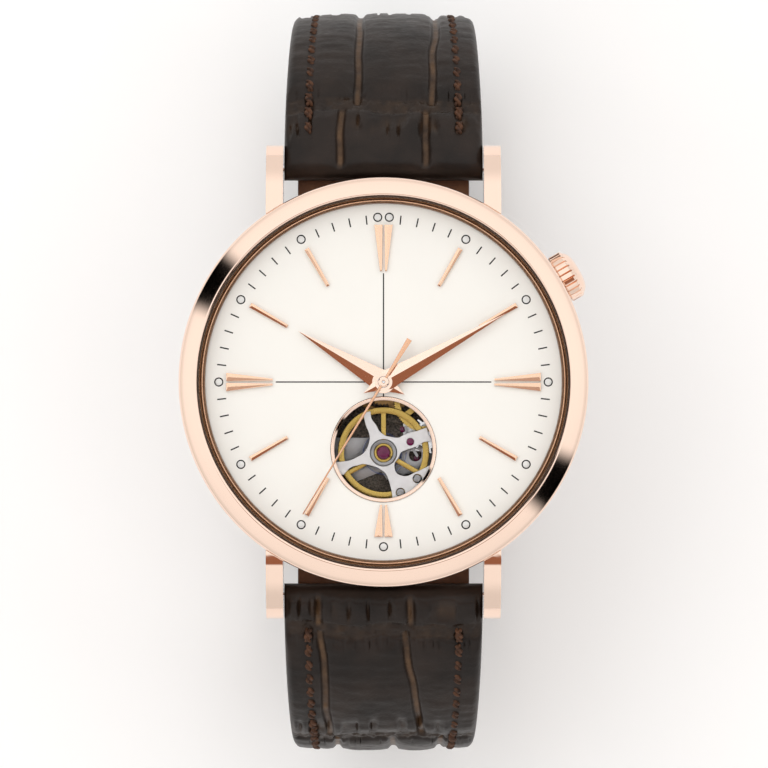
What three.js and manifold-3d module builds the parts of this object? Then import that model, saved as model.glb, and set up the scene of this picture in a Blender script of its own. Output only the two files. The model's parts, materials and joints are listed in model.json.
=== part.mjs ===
// An open-heart automatic wristwatch on a buckled leather strap, in millimetres.
// +Z points out of the dial, +Y to 12 o'clock and +X to 3 o'clock. The origin is the centre
// of the case back's window, on its outer face, which lies against the wrist.

import * as THREE from 'three';
import { mergeVertices } from 'three/addons/utils/BufferGeometryUtils.js';
import Module from 'manifold-3d';

const wasm = await Module();
wasm.setup();

const rad = THREE.MathUtils.degToRad;

// ---------------------------------------------------------------- driving dimensions

const CASE_RADIUS = 20.3;
const CASE_BORE = 16.8;
const BEZEL_RADIUS = 20.5;
const DIAL_SEAT = { radius: 18.55, z: 6.35 };
const CASE_TOP = 7.15;
const LUG = { inside: 10.05, outside: 11.8, root: 13, outerTip: 22.9, innerTip: 23.9 };
const WINDOW_RADIUS = 12.5;

const DIAL = { radius: 18.35, bottom: 6.5, top: 6.9, markerTop: 7.25 };
const APERTURE = { x: 0, y: -6.75, radius: 5.32 };
const MARKER_INNER = 11.1;

const HAND_ANGLES = { hour: rad(300.8), minute: rad(60.8), seconds: rad(211.4) };

const STEM_ANGLE = rad(30);
const STEM_Z = 4.3;
const CROWN_RADIUS = 2.55;
const CROWN_FLUTES = 26;

const PLATE = { radius: 12.9, bottom: 5.1, top: 5.9 };
const BRIDGE = { radius: 12, bottom: 2.95, top: 3.4 };

// Centres of the wheels, seen from the dial side.
const CENTRE = { x: 0, y: 0 };
const BARREL_AT = { x: 0, y: 5.8 };
const CROWN_WHEEL_AT = onStem(7.6);
const MINUTE_WHEEL_AT = { x: 2.49, y: 1.4375 };
const THIRD_AT = { x: 3.23, y: 1.59 };
const FOURTH_AT = { x: 4.2, y: -1.88 };
const ESCAPE_AT = { x: 4.64, y: -5.26 };
const PALLET_AT = { x: 2.6, y: -6.07 };
const BALANCE_AT = { x: 0, y: -7.1 };
const REVERSING_AT = { x: -2.82, y: -1.03 };
const CLICK_AT = { x: -4.34, y: 2.76 };

// Teeth and modules; a pitch radius is half of their product.
const GEARS = {
  barrel: { teeth: 72, module: 0.138 },
  centrePinion: { teeth: 12, module: 0.138 },
  centreWheel: { teeth: 64, module: 0.1 },
  thirdPinion: { teeth: 8, module: 0.1 },
  thirdWheel: { teeth: 75, module: 0.0847 },
  secondsPinion: { teeth: 10, module: 0.0847 },
  fourthPinion: { teeth: 10, module: 0.0847 },
  fourthWheel: { teeth: 84, module: 0.075 },
  escapePinion: { teeth: 7, module: 0.075 },
  cannon: { teeth: 12, module: 0.12 },
  minuteWheel: { teeth: 36, module: 0.12 },
  minutePinion: { teeth: 10, module: 0.115 },
  hourWheel: { teeth: 40, module: 0.115 },
  crownWheel: { teeth: 28, module: 0.186 },
  ratchet: { teeth: 46, module: 0.186 },
  rotorGear: { teeth: 24, module: 0.1 },
  reversing: { teeth: 36, module: 0.1 },
  winding: { teeth: 18, module: 0.14 },
};
const ADDENDUM = 0.7;
const DEDENDUM = 1.3;

const STRAP_WIDTH = { lug: 20, buckle: 18 };
const STRAP_STEP = 4.5;
const BAR = { y: 21.6, z: 2.6, radius: 0.7 };
const BUCKLE_BAR = { y: 2, z: -37.5, radius: 0.6 };
const TONGUE = { width: 1.6, slotWidth: 3, grooveWidth: 2, notchWidth: 2.2 };
const REST_Z = -41.8;
const LEATHER = {
  lug: { outer: 1.9, split: -1.37, inner: -2.25 },
  buckle: { outer: 0.9, split: 0, inner: -1.0 },
  blend: 35,
  gap: 0.04,
};

// Facets of round pieces, by size.
const ROUND = 32;
const MEDIUM = 20;
const SMALL = 12;
const TINY = 8;

// ---------------------------------------------------------------- materials

function metal(colour, roughness) {
  return new THREE.MeshStandardMaterial({ color: colour, roughness, metalness: 1 });
}

function matt(colour, roughness) {
  return new THREE.MeshStandardMaterial({ color: colour, roughness, metalness: 0 });
}

const ROSE_GOLD = metal(0xe0ac86, 0.16);
const DARK_ROSE = metal(0x96674a, 0.3);
const STEEL = metal(0xb9bcc0, 0.25);
const PLATE_STEEL = metal(0xa9aaac, 0.45);
const BRASS = metal(0xd9b35e, 0.28);
const BLUED = metal(0x40485e, 0.3);
const RUBY = matt(0x9c1d4a, 0.08);
const IVORY = matt(0xf4f0e6, 0.55);
const GLASS = matt(0xf2f6f8, 0.03);
const RUBBER = matt(0x1b1b1c, 0.7);
const LEATHER_DARK = matt(0x2c221b, 0.5);
const LEATHER_LINING = matt(0x7a4b2c, 0.75);

// ---------------------------------------------------------------- solids

// A closed three.js geometry as a solid that can be joined and cut.
function solid(geometry) {
  const bare = geometry.clone();
  bare.deleteAttribute('normal');
  bare.deleteAttribute('uv');
  const merged = mergeVertices(bare);
  const corners = merged.index.array;
  const triangles = [];
  for (let i = 0; i < corners.length; i += 3) {
    const [a, b, c] = corners.slice(i, i + 3);
    if (a !== b && b !== c && c !== a) {
      triangles.push(a, b, c);
    }
  }
  return new wasm.Manifold(new wasm.Mesh({
    numProp: 3,
    vertProperties: Float32Array.from(merged.attributes.position.array),
    triVerts: Uint32Array.from(triangles),
  }));
}

function toGeometry(body) {
  const mesh = body.getMesh();
  const geometry = new THREE.BufferGeometry();
  geometry.setAttribute('position', new THREE.BufferAttribute(mesh.vertProperties, 3));
  geometry.setIndex(new THREE.BufferAttribute(mesh.triVerts, 1));
  const flat = geometry.toNonIndexed();
  flat.computeVertexNormals();
  return flat;
}

// A profile of [radius, z] points spun about the Z axis through a centre.
function revolve(profile, { at = CENTRE, segments = ROUND } = {}) {
  const points = profile.map(([radius, z]) => new THREE.Vector2(radius, z));
  const loop = THREE.ShapeUtils.area(points) < 0 ? points.reverse() : points;
  if (profile.some(([radius]) => radius === 0)) {
    startOnAxis(loop);
  } else {
    loop.push(loop[0].clone());
  }
  const geometry = new THREE.LatheGeometry(loop, segments);
  geometry.rotateX(Math.PI / 2);
  geometry.translate(at.x, at.y, 0);
  return solid(geometry);
}

// Turns a loop of points so that its two points on the axis come first and last.
function startOnAxis(loop) {
  while (!(loop[0].x === 0 && loop[loop.length - 1].x === 0)) {
    loop.push(loop.shift());
  }
}

// A cylinder, or a ring where a bore is given, standing on z0.
function disc(radius, z0, z1, { bore = 0, at = CENTRE, segments = ROUND } = {}) {
  return revolve([[bore, z0], [radius, z0], [radius, z1], [bore, z1]], { at, segments });
}

function shapeOf(points, holes = []) {
  const shape = new THREE.Shape(points.map(([x, y]) => new THREE.Vector2(x, y)));
  shape.holes = holes.map((hole) => new THREE.Path(hole.map(([x, y]) => new THREE.Vector2(x, y))));
  return shape;
}

// A flat plate with an outline in X and Y.
function plate(points, z0, z1, { holes = [], at = CENTRE } = {}) {
  const geometry = new THREE.ExtrudeGeometry(shapeOf(points, holes), { depth: z1 - z0, bevelEnabled: false });
  geometry.translate(at.x, at.y, z0);
  return solid(geometry);
}

// A prism with an outline in Y and Z, from x0 to x1.
function crosswise(points, x0, x1, holes = []) {
  const geometry = new THREE.ExtrudeGeometry(shapeOf(points, holes), { depth: x1 - x0, bevelEnabled: false });
  const axes = new THREE.Matrix4().makeBasis(
    new THREE.Vector3(0, 1, 0),
    new THREE.Vector3(0, 0, 1),
    new THREE.Vector3(1, 0, 0),
  );
  geometry.applyMatrix4(axes);
  geometry.translate(x0, 0, 0);
  return solid(geometry);
}

// A round bar along X.
function crossBar(radius, halfLength, y, z, segments = SMALL) {
  return crosswise(circle(radius, segments, { x: y, y: z }), -halfLength, halfLength);
}

function block(sizeX, sizeY, sizeZ, x, y, z, turn = 0) {
  const geometry = new THREE.BoxGeometry(sizeX, sizeY, sizeZ);
  geometry.rotateZ(turn);
  geometry.translate(x, y, z);
  return solid(geometry);
}

function circle(radius, segments, at = CENTRE) {
  const points = [];
  for (let i = 0; i < segments; i += 1) {
    const angle = (i / segments) * 2 * Math.PI;
    points.push([at.x + radius * Math.cos(angle), at.y + radius * Math.sin(angle)]);
  }
  return points;
}

function join(...bodies) {
  return bodies.reduce((whole, body) => whole.add(body));
}

// A bar of even width between two points, with round ends.
function link(from, to, width, z0, z1) {
  const along = Math.atan2(to.y - from.y, to.x - from.x);
  const points = [];
  for (const [end, start] of [[to, along - Math.PI / 2], [from, along + Math.PI / 2]]) {
    for (let i = 0; i <= 4; i += 1) {
      const angle = start + (i / 4) * Math.PI;
      points.push([end.x + (width / 2) * Math.cos(angle), end.y + (width / 2) * Math.sin(angle)]);
    }
  }
  return plate(points, z0, z1);
}

function polar(radius, angle, at = CENTRE) {
  return { x: at.x + radius * Math.cos(angle), y: at.y + radius * Math.sin(angle) };
}

function onStem(distance) {
  return { x: distance * Math.cos(STEM_ANGLE), y: distance * Math.sin(STEM_ANGLE) };
}

// ---------------------------------------------------------------- gears

function pitchRadius(gear) {
  return (gear.teeth * gear.module) / 2;
}

// The phase of a gear whose teeth fall in the gaps of the gear that drives it.
function meshPhase(driver, driverAt, driverPhase, gear, gearAt) {
  const towards = Math.atan2(gearAt.y - driverAt.y, gearAt.x - driverAt.x);
  const slip = ((driverPhase - towards) * driver.teeth) / gear.teeth;
  return towards + Math.PI + Math.PI / gear.teeth - slip;
}

// The outline of a wheel: one point at each tip and one in each gap.
function wheelOutline(gear, phase) {
  const tip = pitchRadius(gear) + ADDENDUM * gear.module;
  const root = pitchRadius(gear) - DEDENDUM * gear.module;
  const points = [];
  for (let i = 0; i < gear.teeth; i += 1) {
    const angle = phase + (i / gear.teeth) * 2 * Math.PI;
    const gap = angle + Math.PI / gear.teeth;
    points.push([tip * Math.cos(angle), tip * Math.sin(angle)]);
    points.push([root * Math.cos(gap), root * Math.sin(gap)]);
  }
  return points;
}

// The outline of a pinion: each leaf has a flat tip and a flat gap.
function pinionOutline(gear, phase) {
  const tip = pitchRadius(gear) + ADDENDUM * gear.module;
  const root = pitchRadius(gear) - DEDENDUM * gear.module;
  const step = (2 * Math.PI) / gear.teeth;
  const corners = [[root, -0.3], [tip, -0.12], [tip, 0.12], [root, 0.3]];
  const points = [];
  for (let i = 0; i < gear.teeth; i += 1) {
    for (const [radius, share] of corners) {
      const angle = phase + (i + share) * step;
      points.push([radius * Math.cos(angle), radius * Math.sin(angle)]);
    }
  }
  return points;
}

function wheel(gear, at, phase, z0, z1) {
  return plate(wheelOutline(gear, phase), z0, z1, { at });
}

function pinion(gear, at, phase, z0, z1) {
  return plate(pinionOutline(gear, phase), z0, z1, { at });
}

// Windows between the crossings of a wheel, cut as one solid.
function crossings(at, inner, outer, count, z0, z1) {
  const arm = 0.28;
  const windows = [];
  for (let i = 0; i < count; i += 1) {
    const start = (i / count) * 2 * Math.PI;
    const span = (2 * Math.PI) / count;
    const points = [];
    for (let k = 0; k <= 3; k += 1) {
      const angle = start + arm / outer + (k / 3) * (span - (2 * arm) / outer);
      points.push([outer * Math.cos(angle), outer * Math.sin(angle)]);
    }
    for (let k = 1; k >= 0; k -= 1) {
      const angle = start + arm / inner + k * (span - (2 * arm) / inner);
      points.push([inner * Math.cos(angle), inner * Math.sin(angle)]);
    }
    windows.push(plate(points, z0, z1, { at }));
  }
  return join(...windows);
}

const PHASE = {};
PHASE.centre = 0;
PHASE.barrel = meshPhase(GEARS.centrePinion, CENTRE, PHASE.centre, GEARS.barrel, BARREL_AT);
PHASE.thirdPinion = meshPhase(GEARS.centreWheel, CENTRE, PHASE.centre, GEARS.thirdPinion, THIRD_AT);
PHASE.thirdWheel = 0;
PHASE.seconds = meshPhase(GEARS.thirdWheel, THIRD_AT, PHASE.thirdWheel, GEARS.secondsPinion, CENTRE);
PHASE.fourth = meshPhase(GEARS.thirdWheel, THIRD_AT, PHASE.thirdWheel, GEARS.fourthPinion, FOURTH_AT);
PHASE.escape = meshPhase(GEARS.fourthWheel, FOURTH_AT, 0, GEARS.escapePinion, ESCAPE_AT);
PHASE.minute = meshPhase(GEARS.cannon, CENTRE, PHASE.centre, GEARS.minuteWheel, MINUTE_WHEEL_AT);
PHASE.hour = meshPhase(GEARS.minutePinion, MINUTE_WHEEL_AT, 0, GEARS.hourWheel, CENTRE);
PHASE.ratchet = meshPhase(GEARS.crownWheel, CROWN_WHEEL_AT, 0, GEARS.ratchet, BARREL_AT);
PHASE.reversing = meshPhase(GEARS.rotorGear, CENTRE, 0, GEARS.reversing, REVERSING_AT);

// ---------------------------------------------------------------- scene graph

const watch = new THREE.Group();

// The stem's own frame: its Z axis runs from the dial centre out through the crown.
const stemAxis = new THREE.Group();
stemAxis.rotation.order = 'ZYX';
stemAxis.rotation.set(0, Math.PI / 2, STEM_ANGLE);
stemAxis.position.z = STEM_Z;
watch.add(stemAxis);

function part(name, body, material, parent = watch) {
  const mesh = new THREE.Mesh(toGeometry(body), material);
  mesh.name = name;
  parent.add(mesh);
}

// A hole along the stem's axis, in the watch's frame.
function stemHole(radius, from, to) {
  const geometry = new THREE.CylinderGeometry(radius, radius, to - from, SMALL);
  geometry.rotateX(Math.PI / 2);
  geometry.translate(0, 0, (from + to) / 2);
  stemAxis.updateMatrix();
  geometry.applyMatrix4(stemAxis.matrix);
  return solid(geometry);
}

// ---------------------------------------------------------------- case

function lug(sideX, sideY) {
  const side = [
    [14, 8.15], [17.6, 8.15], [19.4, 7.65], [21, 6.85], [22.4, 5.75], [23.1, 5.0], [23.7, 3.9],
    [23.9, 2.7], [23.6, 1.0], [22.6, 0.5], [19, 0.9], [16, 1.9], [14, 3],
  ];
  const plan = [
    [LUG.inside, LUG.root], [LUG.outside, LUG.root],
    [LUG.outside - 0.15, LUG.outerTip], [LUG.inside, LUG.innerTip],
  ];
  const x = sideX * LUG.outside;
  const slab = crosswise(side.map(([y, z]) => [sideY * y, z]), Math.min(0, x), Math.max(0, x));
  return slab.intersect(plate(plan.map(([px, py]) => [sideX * px, sideY * py]), 0, 9));
}

function caseMiddle() {
  const band = revolve([
    [0, 1.35], [17.9, 1.35], [18.5, 1.6], [19.75, 3.2], [CASE_RADIUS, 5], [CASE_RADIUS, CASE_TOP],
    [0, CASE_TOP],
  ]);
  const lugs = join(lug(1, 1), lug(-1, 1), lug(1, -1), lug(-1, -1));
  const bore = revolve([
    [0, 0], [CASE_BORE, 0], [CASE_BORE, DIAL_SEAT.z], [DIAL_SEAT.radius, DIAL_SEAT.z],
    [DIAL_SEAT.radius, CASE_TOP], [BEZEL_RADIUS + 0.05, CASE_TOP], [BEZEL_RADIUS + 0.05, 9], [0, 9],
  ]);
  return band.add(lugs)
    .subtract(bore)
    .subtract(crossBar(0.5, 11.1, BAR.y, BAR.z))
    .subtract(crossBar(0.5, 11.1, -BAR.y, BAR.z))
    .subtract(stemHole(1, 16, 22));
}

function bezel() {
  return revolve([
    [18.62, 7.2], [BEZEL_RADIUS, 7.2], [BEZEL_RADIUS, 8.2], [20.25, 8.65],
    [19.8, 9.05], [19.2, 9.3], [18.85, 9.3], [18.62, 9.1],
  ]);
}

// Both faces of the crystal are domed; each dome is a shallow parabola.
function crystal() {
  const radius = 18.4;
  const dome = (reach, low, high, count) => Array.from({ length: count }, (_, i) => {
    const share = 1 - i / (count - 1);
    return [reach * share, high - (high - low) * share * share];
  });
  const upper = dome(radius, 9.25, 10.9, 5);
  const lower = dome(17.6, 8.52, 9.7, 4).reverse();
  return revolve([...lower, [radius, 8.52], ...upper]);
}

function caseBack() {
  const ring = revolve([
    [12.55, 0.05], [17.2, 0.05], [17.8, 0.5], [17.8, 1.28], [17.4, 1.28], [17.4, 1.0], [17.0, 1.0],
    [17.0, 1.28], [16.65, 1.28], [16.65, 2.4], [16.0, 2.4], [16.0, 1.28], [11.9, 1.28],
    [11.9, 0.78], [12.55, 0.78],
  ]);
  const notches = [];
  for (let i = 0; i < 6; i += 1) {
    const angle = rad(60 * i + 30);
    const centre = polar(16.9, angle);
    notches.push(block(1.8, 1.6, 0.8, centre.x, centre.y, 0.2, angle));
  }
  return ring.subtract(join(...notches));
}

function buildCase() {
  part('case_middle', caseMiddle(), ROSE_GOLD);
  part('bezel', bezel(), ROSE_GOLD);
  part('crystal', crystal(), GLASS);
  part('crystal_gasket', disc(18.6, 8.5, 9.1, { bore: 18.47 }), RUBBER);
  part('rehaut_ring', revolve([
    [17.4, 6.95], [18.5, 6.95], [18.5, 8.45], [18.15, 8.45], [17.4, 7.4],
  ]), DARK_ROSE);
  part('case_back', caseBack(), ROSE_GOLD);
  part('case_back_window', disc(WINDOW_RADIUS, 0, 0.7), GLASS);
  part('case_back_gasket', disc(17.38, 1.02, 1.32, { bore: 17.02 }), RUBBER);
  part('movement_holder', disc(16.5, 2.6, 6.3, { bore: 13.1 }).subtract(stemHole(1.3, 12, 18)), PLATE_STEEL);
}

// ---------------------------------------------------------------- dial

// A tapered bar marker that points at the centre, turned clockwise from 12 o'clock.
function marker(clockwise, inner, outer, innerX, outerX) {
  const turn = -clockwise;
  const corners = [[innerX[0], inner], [innerX[1], inner], [outerX[1], outer], [outerX[0], outer]];
  const points = corners.map(([x, y]) => [
    x * Math.cos(turn) - y * Math.sin(turn),
    x * Math.sin(turn) + y * Math.cos(turn),
  ]);
  return plate(points, DIAL.top - 0.1, DIAL.markerTop);
}

function pairedMarker(clockwise, inner, outer) {
  const right = [[0.15, 0.55], [0.07, 0.92]];
  const left = right.map(([near, far]) => [-far, -near]);
  return join(marker(clockwise, inner, outer, ...right), marker(clockwise, inner, outer, ...left));
}

function dial() {
  const holes = [circle(APERTURE.radius, MEDIUM, APERTURE), circle(1, SMALL)];
  const markers = [];
  for (let hour = 1; hour <= 12; hour += 1) {
    const clockwise = rad(30 * hour);
    if (hour === 6) {
      markers.push(pairedMarker(clockwise, 12.3, 15.5));
    } else if (hour % 3 === 0) {
      markers.push(pairedMarker(clockwise, MARKER_INNER, 15.75));
    } else {
      markers.push(marker(clockwise, MARKER_INNER, 15.4, [-0.175, 0.175], [-0.25, 0.25]));
    }
  }
  return plate(circle(DIAL.radius, ROUND), DIAL.bottom, DIAL.top, { holes }).add(join(...markers));
}

// A hand as a long kite from its tail to its tip, with a hub, lying along +Y before it is turned.
function kiteHand(clockwise, { tip, tail, halfWidth, widest, hub, bore, z0, z1 }) {
  const turn = -clockwise;
  const kite = [[0, tip], [-halfWidth, widest], [0, -tail], [halfWidth, widest]];
  const points = kite.map(([x, y]) => [
    x * Math.cos(turn) - y * Math.sin(turn),
    x * Math.sin(turn) + y * Math.cos(turn),
  ]);
  return plate(points, z0, z1)
    .add(disc(hub, z0, z1, { segments: MEDIUM }))
    .subtract(disc(bore, z0 - 1, z1 + 1, { segments: SMALL }));
}

function secondsHand() {
  const turn = -HAND_ANGLES.seconds;
  const outline = [[0.06, 15.5], [-0.06, 15.5], [-0.14, 0.4], [-0.12, -0.4], [-0.28, -5], [0.28, -5],
    [0.12, -0.4], [0.14, 0.4]];
  const points = outline.map(([x, y]) => [
    x * Math.cos(turn) - y * Math.sin(turn),
    x * Math.sin(turn) + y * Math.cos(turn),
  ]);
  return plate(points, 8.15, 8.3)
    .add(disc(0.55, 8.15, 8.3, { segments: SMALL }))
    .subtract(disc(0.16, 8, 9, { segments: TINY }));
}

function buildDialSide() {
  part('dial', dial(), IVORY);
  part('aperture_ring', disc(5.3, 6.45, 7.05, { bore: 4.9, at: APERTURE, segments: MEDIUM }), ROSE_GOLD);
  part('hour_hand', kiteHand(HAND_ANGLES.hour, {
    tip: 10.05, tail: 2.5, halfWidth: 1.1, widest: 0.4, hub: 1.15, bore: 0.87, z0: 7.3, z1: 7.5,
  }), ROSE_GOLD);
  part('minute_hand', kiteHand(HAND_ANGLES.minute, {
    tip: 14.2, tail: 2.35, halfWidth: 1, widest: 0.4, hub: 0.9, bore: 0.58, z0: 7.75, z1: 7.95,
  }), ROSE_GOLD);
  part('seconds_hand', secondsHand(), ROSE_GOLD);
}

// ---------------------------------------------------------------- plates and bridges

// A row of pivot holes through a plate.
function pivotHoles(places, z0, z1) {
  return join(...places.map(([at, radius]) => disc(radius, z0, z1, { at, segments: TINY })));
}

function mainPlate() {
  const wall = disc(PLATE.radius, 3.45, PLATE.bottom + 0.1, { bore: 12.1 });
  const slotLength = 3.6;
  const slotAt = onStem(9.2);
  const slot = block(slotLength, 3.2, 3, slotAt.x, slotAt.y, 5.5, STEM_ANGLE);
  const holes = pivotHoles([
    [CENTRE, 0.62], [BARREL_AT, 0.35], [THIRD_AT, 0.2], [FOURTH_AT, 0.2],
  ], 5, 6);
  return disc(PLATE.radius, PLATE.bottom, PLATE.top)
    .add(wall)
    .subtract(disc(5.6, 5, 6, { at: APERTURE, segments: MEDIUM }))
    .subtract(slot)
    .subtract(holes)
    .subtract(stemHole(1.3, 11, 14))
    .add(disc(0.25, 5.5, 6.35, { at: MINUTE_WHEEL_AT, segments: TINY }));
}

// The dial-side bridge of the balance: a ring in the plate's opening, and four arms to its hub.
function balanceBridge() {
  const z0 = 5.2;
  const z1 = 5.7;
  const armEnds = [[rad(135), 1.5], [rad(30), 1.3], [rad(215), 1.2], [rad(308), 2.6]];
  const arms = armEnds.map(([angle, width]) => {
    const end = polar(5.2, angle, APERTURE);
    return link(BALANCE_AT, end, width, z0, z1);
  });
  const ring = disc(5.5, z0, z1, { bore: 5.0, at: APERTURE, segments: MEDIUM });
  const rim = disc(5.5, z0, z1, { at: APERTURE, segments: MEDIUM });
  return join(ring, ...arms)
    .intersect(rim)
    .add(disc(2, z0, z1, { at: BALANCE_AT, segments: MEDIUM }))
    .subtract(disc(1.35, 5, 6, { at: BALANCE_AT, segments: MEDIUM }))
    .subtract(pivotHoles([[SCREW_RIGHT_AT, 0.4], [SCREW_LOWER_AT, 0.4]], 5, 6));
}

const SCREW_RIGHT_AT = { x: 3.4, y: -9.7 };
const SCREW_LOWER_AT = { x: 1.7, y: -11.1 };

function bridgeScrew(at) {
  const slot = block(1.4, 0.16, 0.2, at.x, at.y, 6.05, rad(35));
  return disc(0.36, 5.25, 5.8, { at, segments: TINY })
    .add(disc(0.62, 5.73, 6.05, { at, segments: SMALL }))
    .subtract(slot);
}

function trainBridge() {
  const { radius, bottom, top } = BRIDGE;
  const slotAt = onStem(10.3);
  return disc(radius, bottom, top)
    .subtract(block(14, 9, 2, -5.05, -7.9, 3))
    .subtract(block(12, 9, 2, 7.95, -11.5, 3))
    .subtract(block(1.2, 3.1, 2, slotAt.x, slotAt.y, 3, STEM_ANGLE))
    .subtract(disc(0.5, 2, 4, { at: BARREL_AT, segments: SMALL }))
    .add(disc(0.5, 2.5, 3.1, { at: CROWN_WHEEL_AT, segments: SMALL }))
    .add(disc(0.2, 2.48, 3.1, { at: REVERSING_AT, segments: TINY }))
    .add(disc(0.25, 2.5, 3.1, { at: CLICK_AT, segments: TINY }));
}

// The cock under the balance: a head at its pivot, a foot at the edge, and two broad flanks.
function balanceCock() {
  const foot = { x: -1.4, y: -12.05 };
  const flank = [[-5.1, -5.6], [-1.4, -5.6], [-1.6, -8], [-5.1, -8.4]];
  const lowerFlank = [[-4.3, -8.4], [0.2, -8.4], [-0.6, -9.2], [-3.2, -10.4]];
  return link(BALANCE_AT, foot, 2.6, BRIDGE.bottom, BRIDGE.top)
    .add(disc(1.7, BRIDGE.bottom, BRIDGE.top, { at: BALANCE_AT, segments: MEDIUM }))
    .add(plate(flank, BRIDGE.bottom, BRIDGE.top))
    .add(plate(lowerFlank, BRIDGE.bottom, BRIDGE.top))
    .intersect(disc(12, 2, 4))
    .subtract(disc(0.2, 2, 4, { at: BALANCE_AT, segments: TINY }));
}

// Its three feet stay inside the rotor's heavy rim, so that the rotor can turn right round.
function automaticBridge() {
  const z0 = 1.95;
  const z1 = 2.45;
  const feet = [{ x: -8, y: -1.5 }, { x: 7.5, y: -2.5 }, { x: -5.7, y: 5.7 }];
  const arms = feet.map((foot) => link(CENTRE, foot, 2.6, z0, z1));
  const posts = feet.map((foot) => disc(0.5, z1 - 0.1, 2.93, { at: foot, segments: TINY }));
  return join(disc(3.4, z0, z1, { segments: MEDIUM }), ...arms, ...posts)
    .subtract(disc(0.9, 1, 3, { segments: SMALL }));
}

function buildPlates() {
  part('main_plate', mainPlate(), PLATE_STEEL);
  part('balance_bridge', balanceBridge(), STEEL);
  part('balance_jewel', disc(1.3, 5.3, 5.8, { at: BALANCE_AT, segments: MEDIUM }), RUBY);
  part('bridge_screw_right', bridgeScrew(SCREW_RIGHT_AT), STEEL);
  part('bridge_screw_lower', bridgeScrew(SCREW_LOWER_AT), STEEL);
  part('train_bridge', trainBridge(), PLATE_STEEL);
  part('balance_cock', balanceCock(), PLATE_STEEL);
  part('automatic_bridge', automaticBridge(), PLATE_STEEL);
}

// ---------------------------------------------------------------- springs

// A flat spiral strip about a centre, from its inner to its outer radius.
function spiral({ at, inner, outer, turns, steps, thickness, z0, z1, start = 0 }) {
  const outside = [];
  const inside = [];
  for (let i = 0; i <= steps; i += 1) {
    const share = i / steps;
    const angle = start + share * turns * 2 * Math.PI;
    const radius = inner + share * (outer - inner);
    outside.push([(radius + thickness / 2) * Math.cos(angle), (radius + thickness / 2) * Math.sin(angle)]);
    inside.push([(radius - thickness / 2) * Math.cos(angle), (radius - thickness / 2) * Math.sin(angle)]);
  }
  return plate([...outside, ...inside.reverse()], z0, z1, { at });
}

function buildSprings() {
  part('hairspring', spiral({
    at: BALANCE_AT, inner: 0.4, outer: 2.3, turns: 4, steps: 44, thickness: 0.06, z0: 3.55, z1: 3.75,
  }), BLUED);
  part('mainspring', spiral({
    at: BARREL_AT, inner: 1.5, outer: 4.2, turns: 4, steps: 44, thickness: 0.14, z0: 4.3, z1: 4.85,
  }), STEEL);
}

// ---------------------------------------------------------------- going train

function barrel() {
  const cup = disc(4.65, 4.1, 4.95, { bore: 4.4, at: BARREL_AT });
  return wheel(GEARS.barrel, BARREL_AT, PHASE.barrel, 4, 4.25)
    .add(cup)
    .subtract(disc(0.75, 3, 6, { at: BARREL_AT, segments: SMALL }));
}

function barrelArbor() {
  return revolve([
    [0, 2.58], [0.4, 2.58], [0.4, 3.9], [0.7, 3.9], [0.7, 4.3], [1.15, 4.3], [1.15, 4.9],
    [0.3, 4.9], [0.3, 5.4], [0, 5.4],
  ], { at: BARREL_AT, segments: SMALL });
}

function centreWheel() {
  return wheel(GEARS.centreWheel, CENTRE, PHASE.centre, 3.72, 3.84)
    .subtract(crossings(CENTRE, 1.1, 2.7, 5, 3, 4))
    .add(pinion(GEARS.centrePinion, CENTRE, PHASE.centre, 3.8, 4.45))
    .add(disc(0.34, 3.75, 7.9, { segments: TINY }))
    .subtract(disc(0.18, 3, 9, { segments: TINY }));
}

function cannonPinion() {
  return pinion(GEARS.cannon, CENTRE, PHASE.centre, 5.97, 6.12)
    .add(disc(0.56, 6, 8, { segments: TINY }))
    .subtract(disc(0.36, 5, 9, { segments: TINY }));
}

function minuteWheel() {
  return wheel(GEARS.minuteWheel, MINUTE_WHEEL_AT, PHASE.minute, 5.98, 6.12)
    .add(pinion(GEARS.minutePinion, MINUTE_WHEEL_AT, 0, 6.05, 6.38))
    .subtract(disc(0.28, 5, 7, { at: MINUTE_WHEEL_AT, segments: TINY }));
}

function hourWheel() {
  return wheel(GEARS.hourWheel, CENTRE, PHASE.hour, 6.22, 6.38)
    .add(disc(0.85, 6.3, 7.55, { segments: SMALL }))
    .subtract(disc(0.6, 5, 9, { segments: SMALL }));
}

function thirdWheel() {
  return wheel(GEARS.thirdWheel, THIRD_AT, PHASE.thirdWheel, 3.5, 3.62)
    .subtract(crossings(THIRD_AT, 1, 2.6, 5, 3, 4))
    .add(pinion(GEARS.thirdPinion, THIRD_AT, PHASE.thirdPinion, 3.6, 3.9))
    .add(disc(0.15, 3.44, 5.3, { at: THIRD_AT, segments: TINY }));
}

function secondsPinion() {
  return pinion(GEARS.secondsPinion, CENTRE, PHASE.seconds, 3.47, 3.66)
    .add(disc(0.14, 3.44, 8.35, { segments: TINY }));
}

function fourthWheel() {
  return wheel(GEARS.fourthWheel, FOURTH_AT, 0, 4.2, 4.3)
    .subtract(crossings(FOURTH_AT, 1, 2.6, 5, 4, 5))
    .add(pinion(GEARS.fourthPinion, FOURTH_AT, PHASE.fourth, 3.47, 3.66))
    .add(disc(0.15, 3.44, 5.3, { at: FOURTH_AT, segments: TINY }));
}

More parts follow.
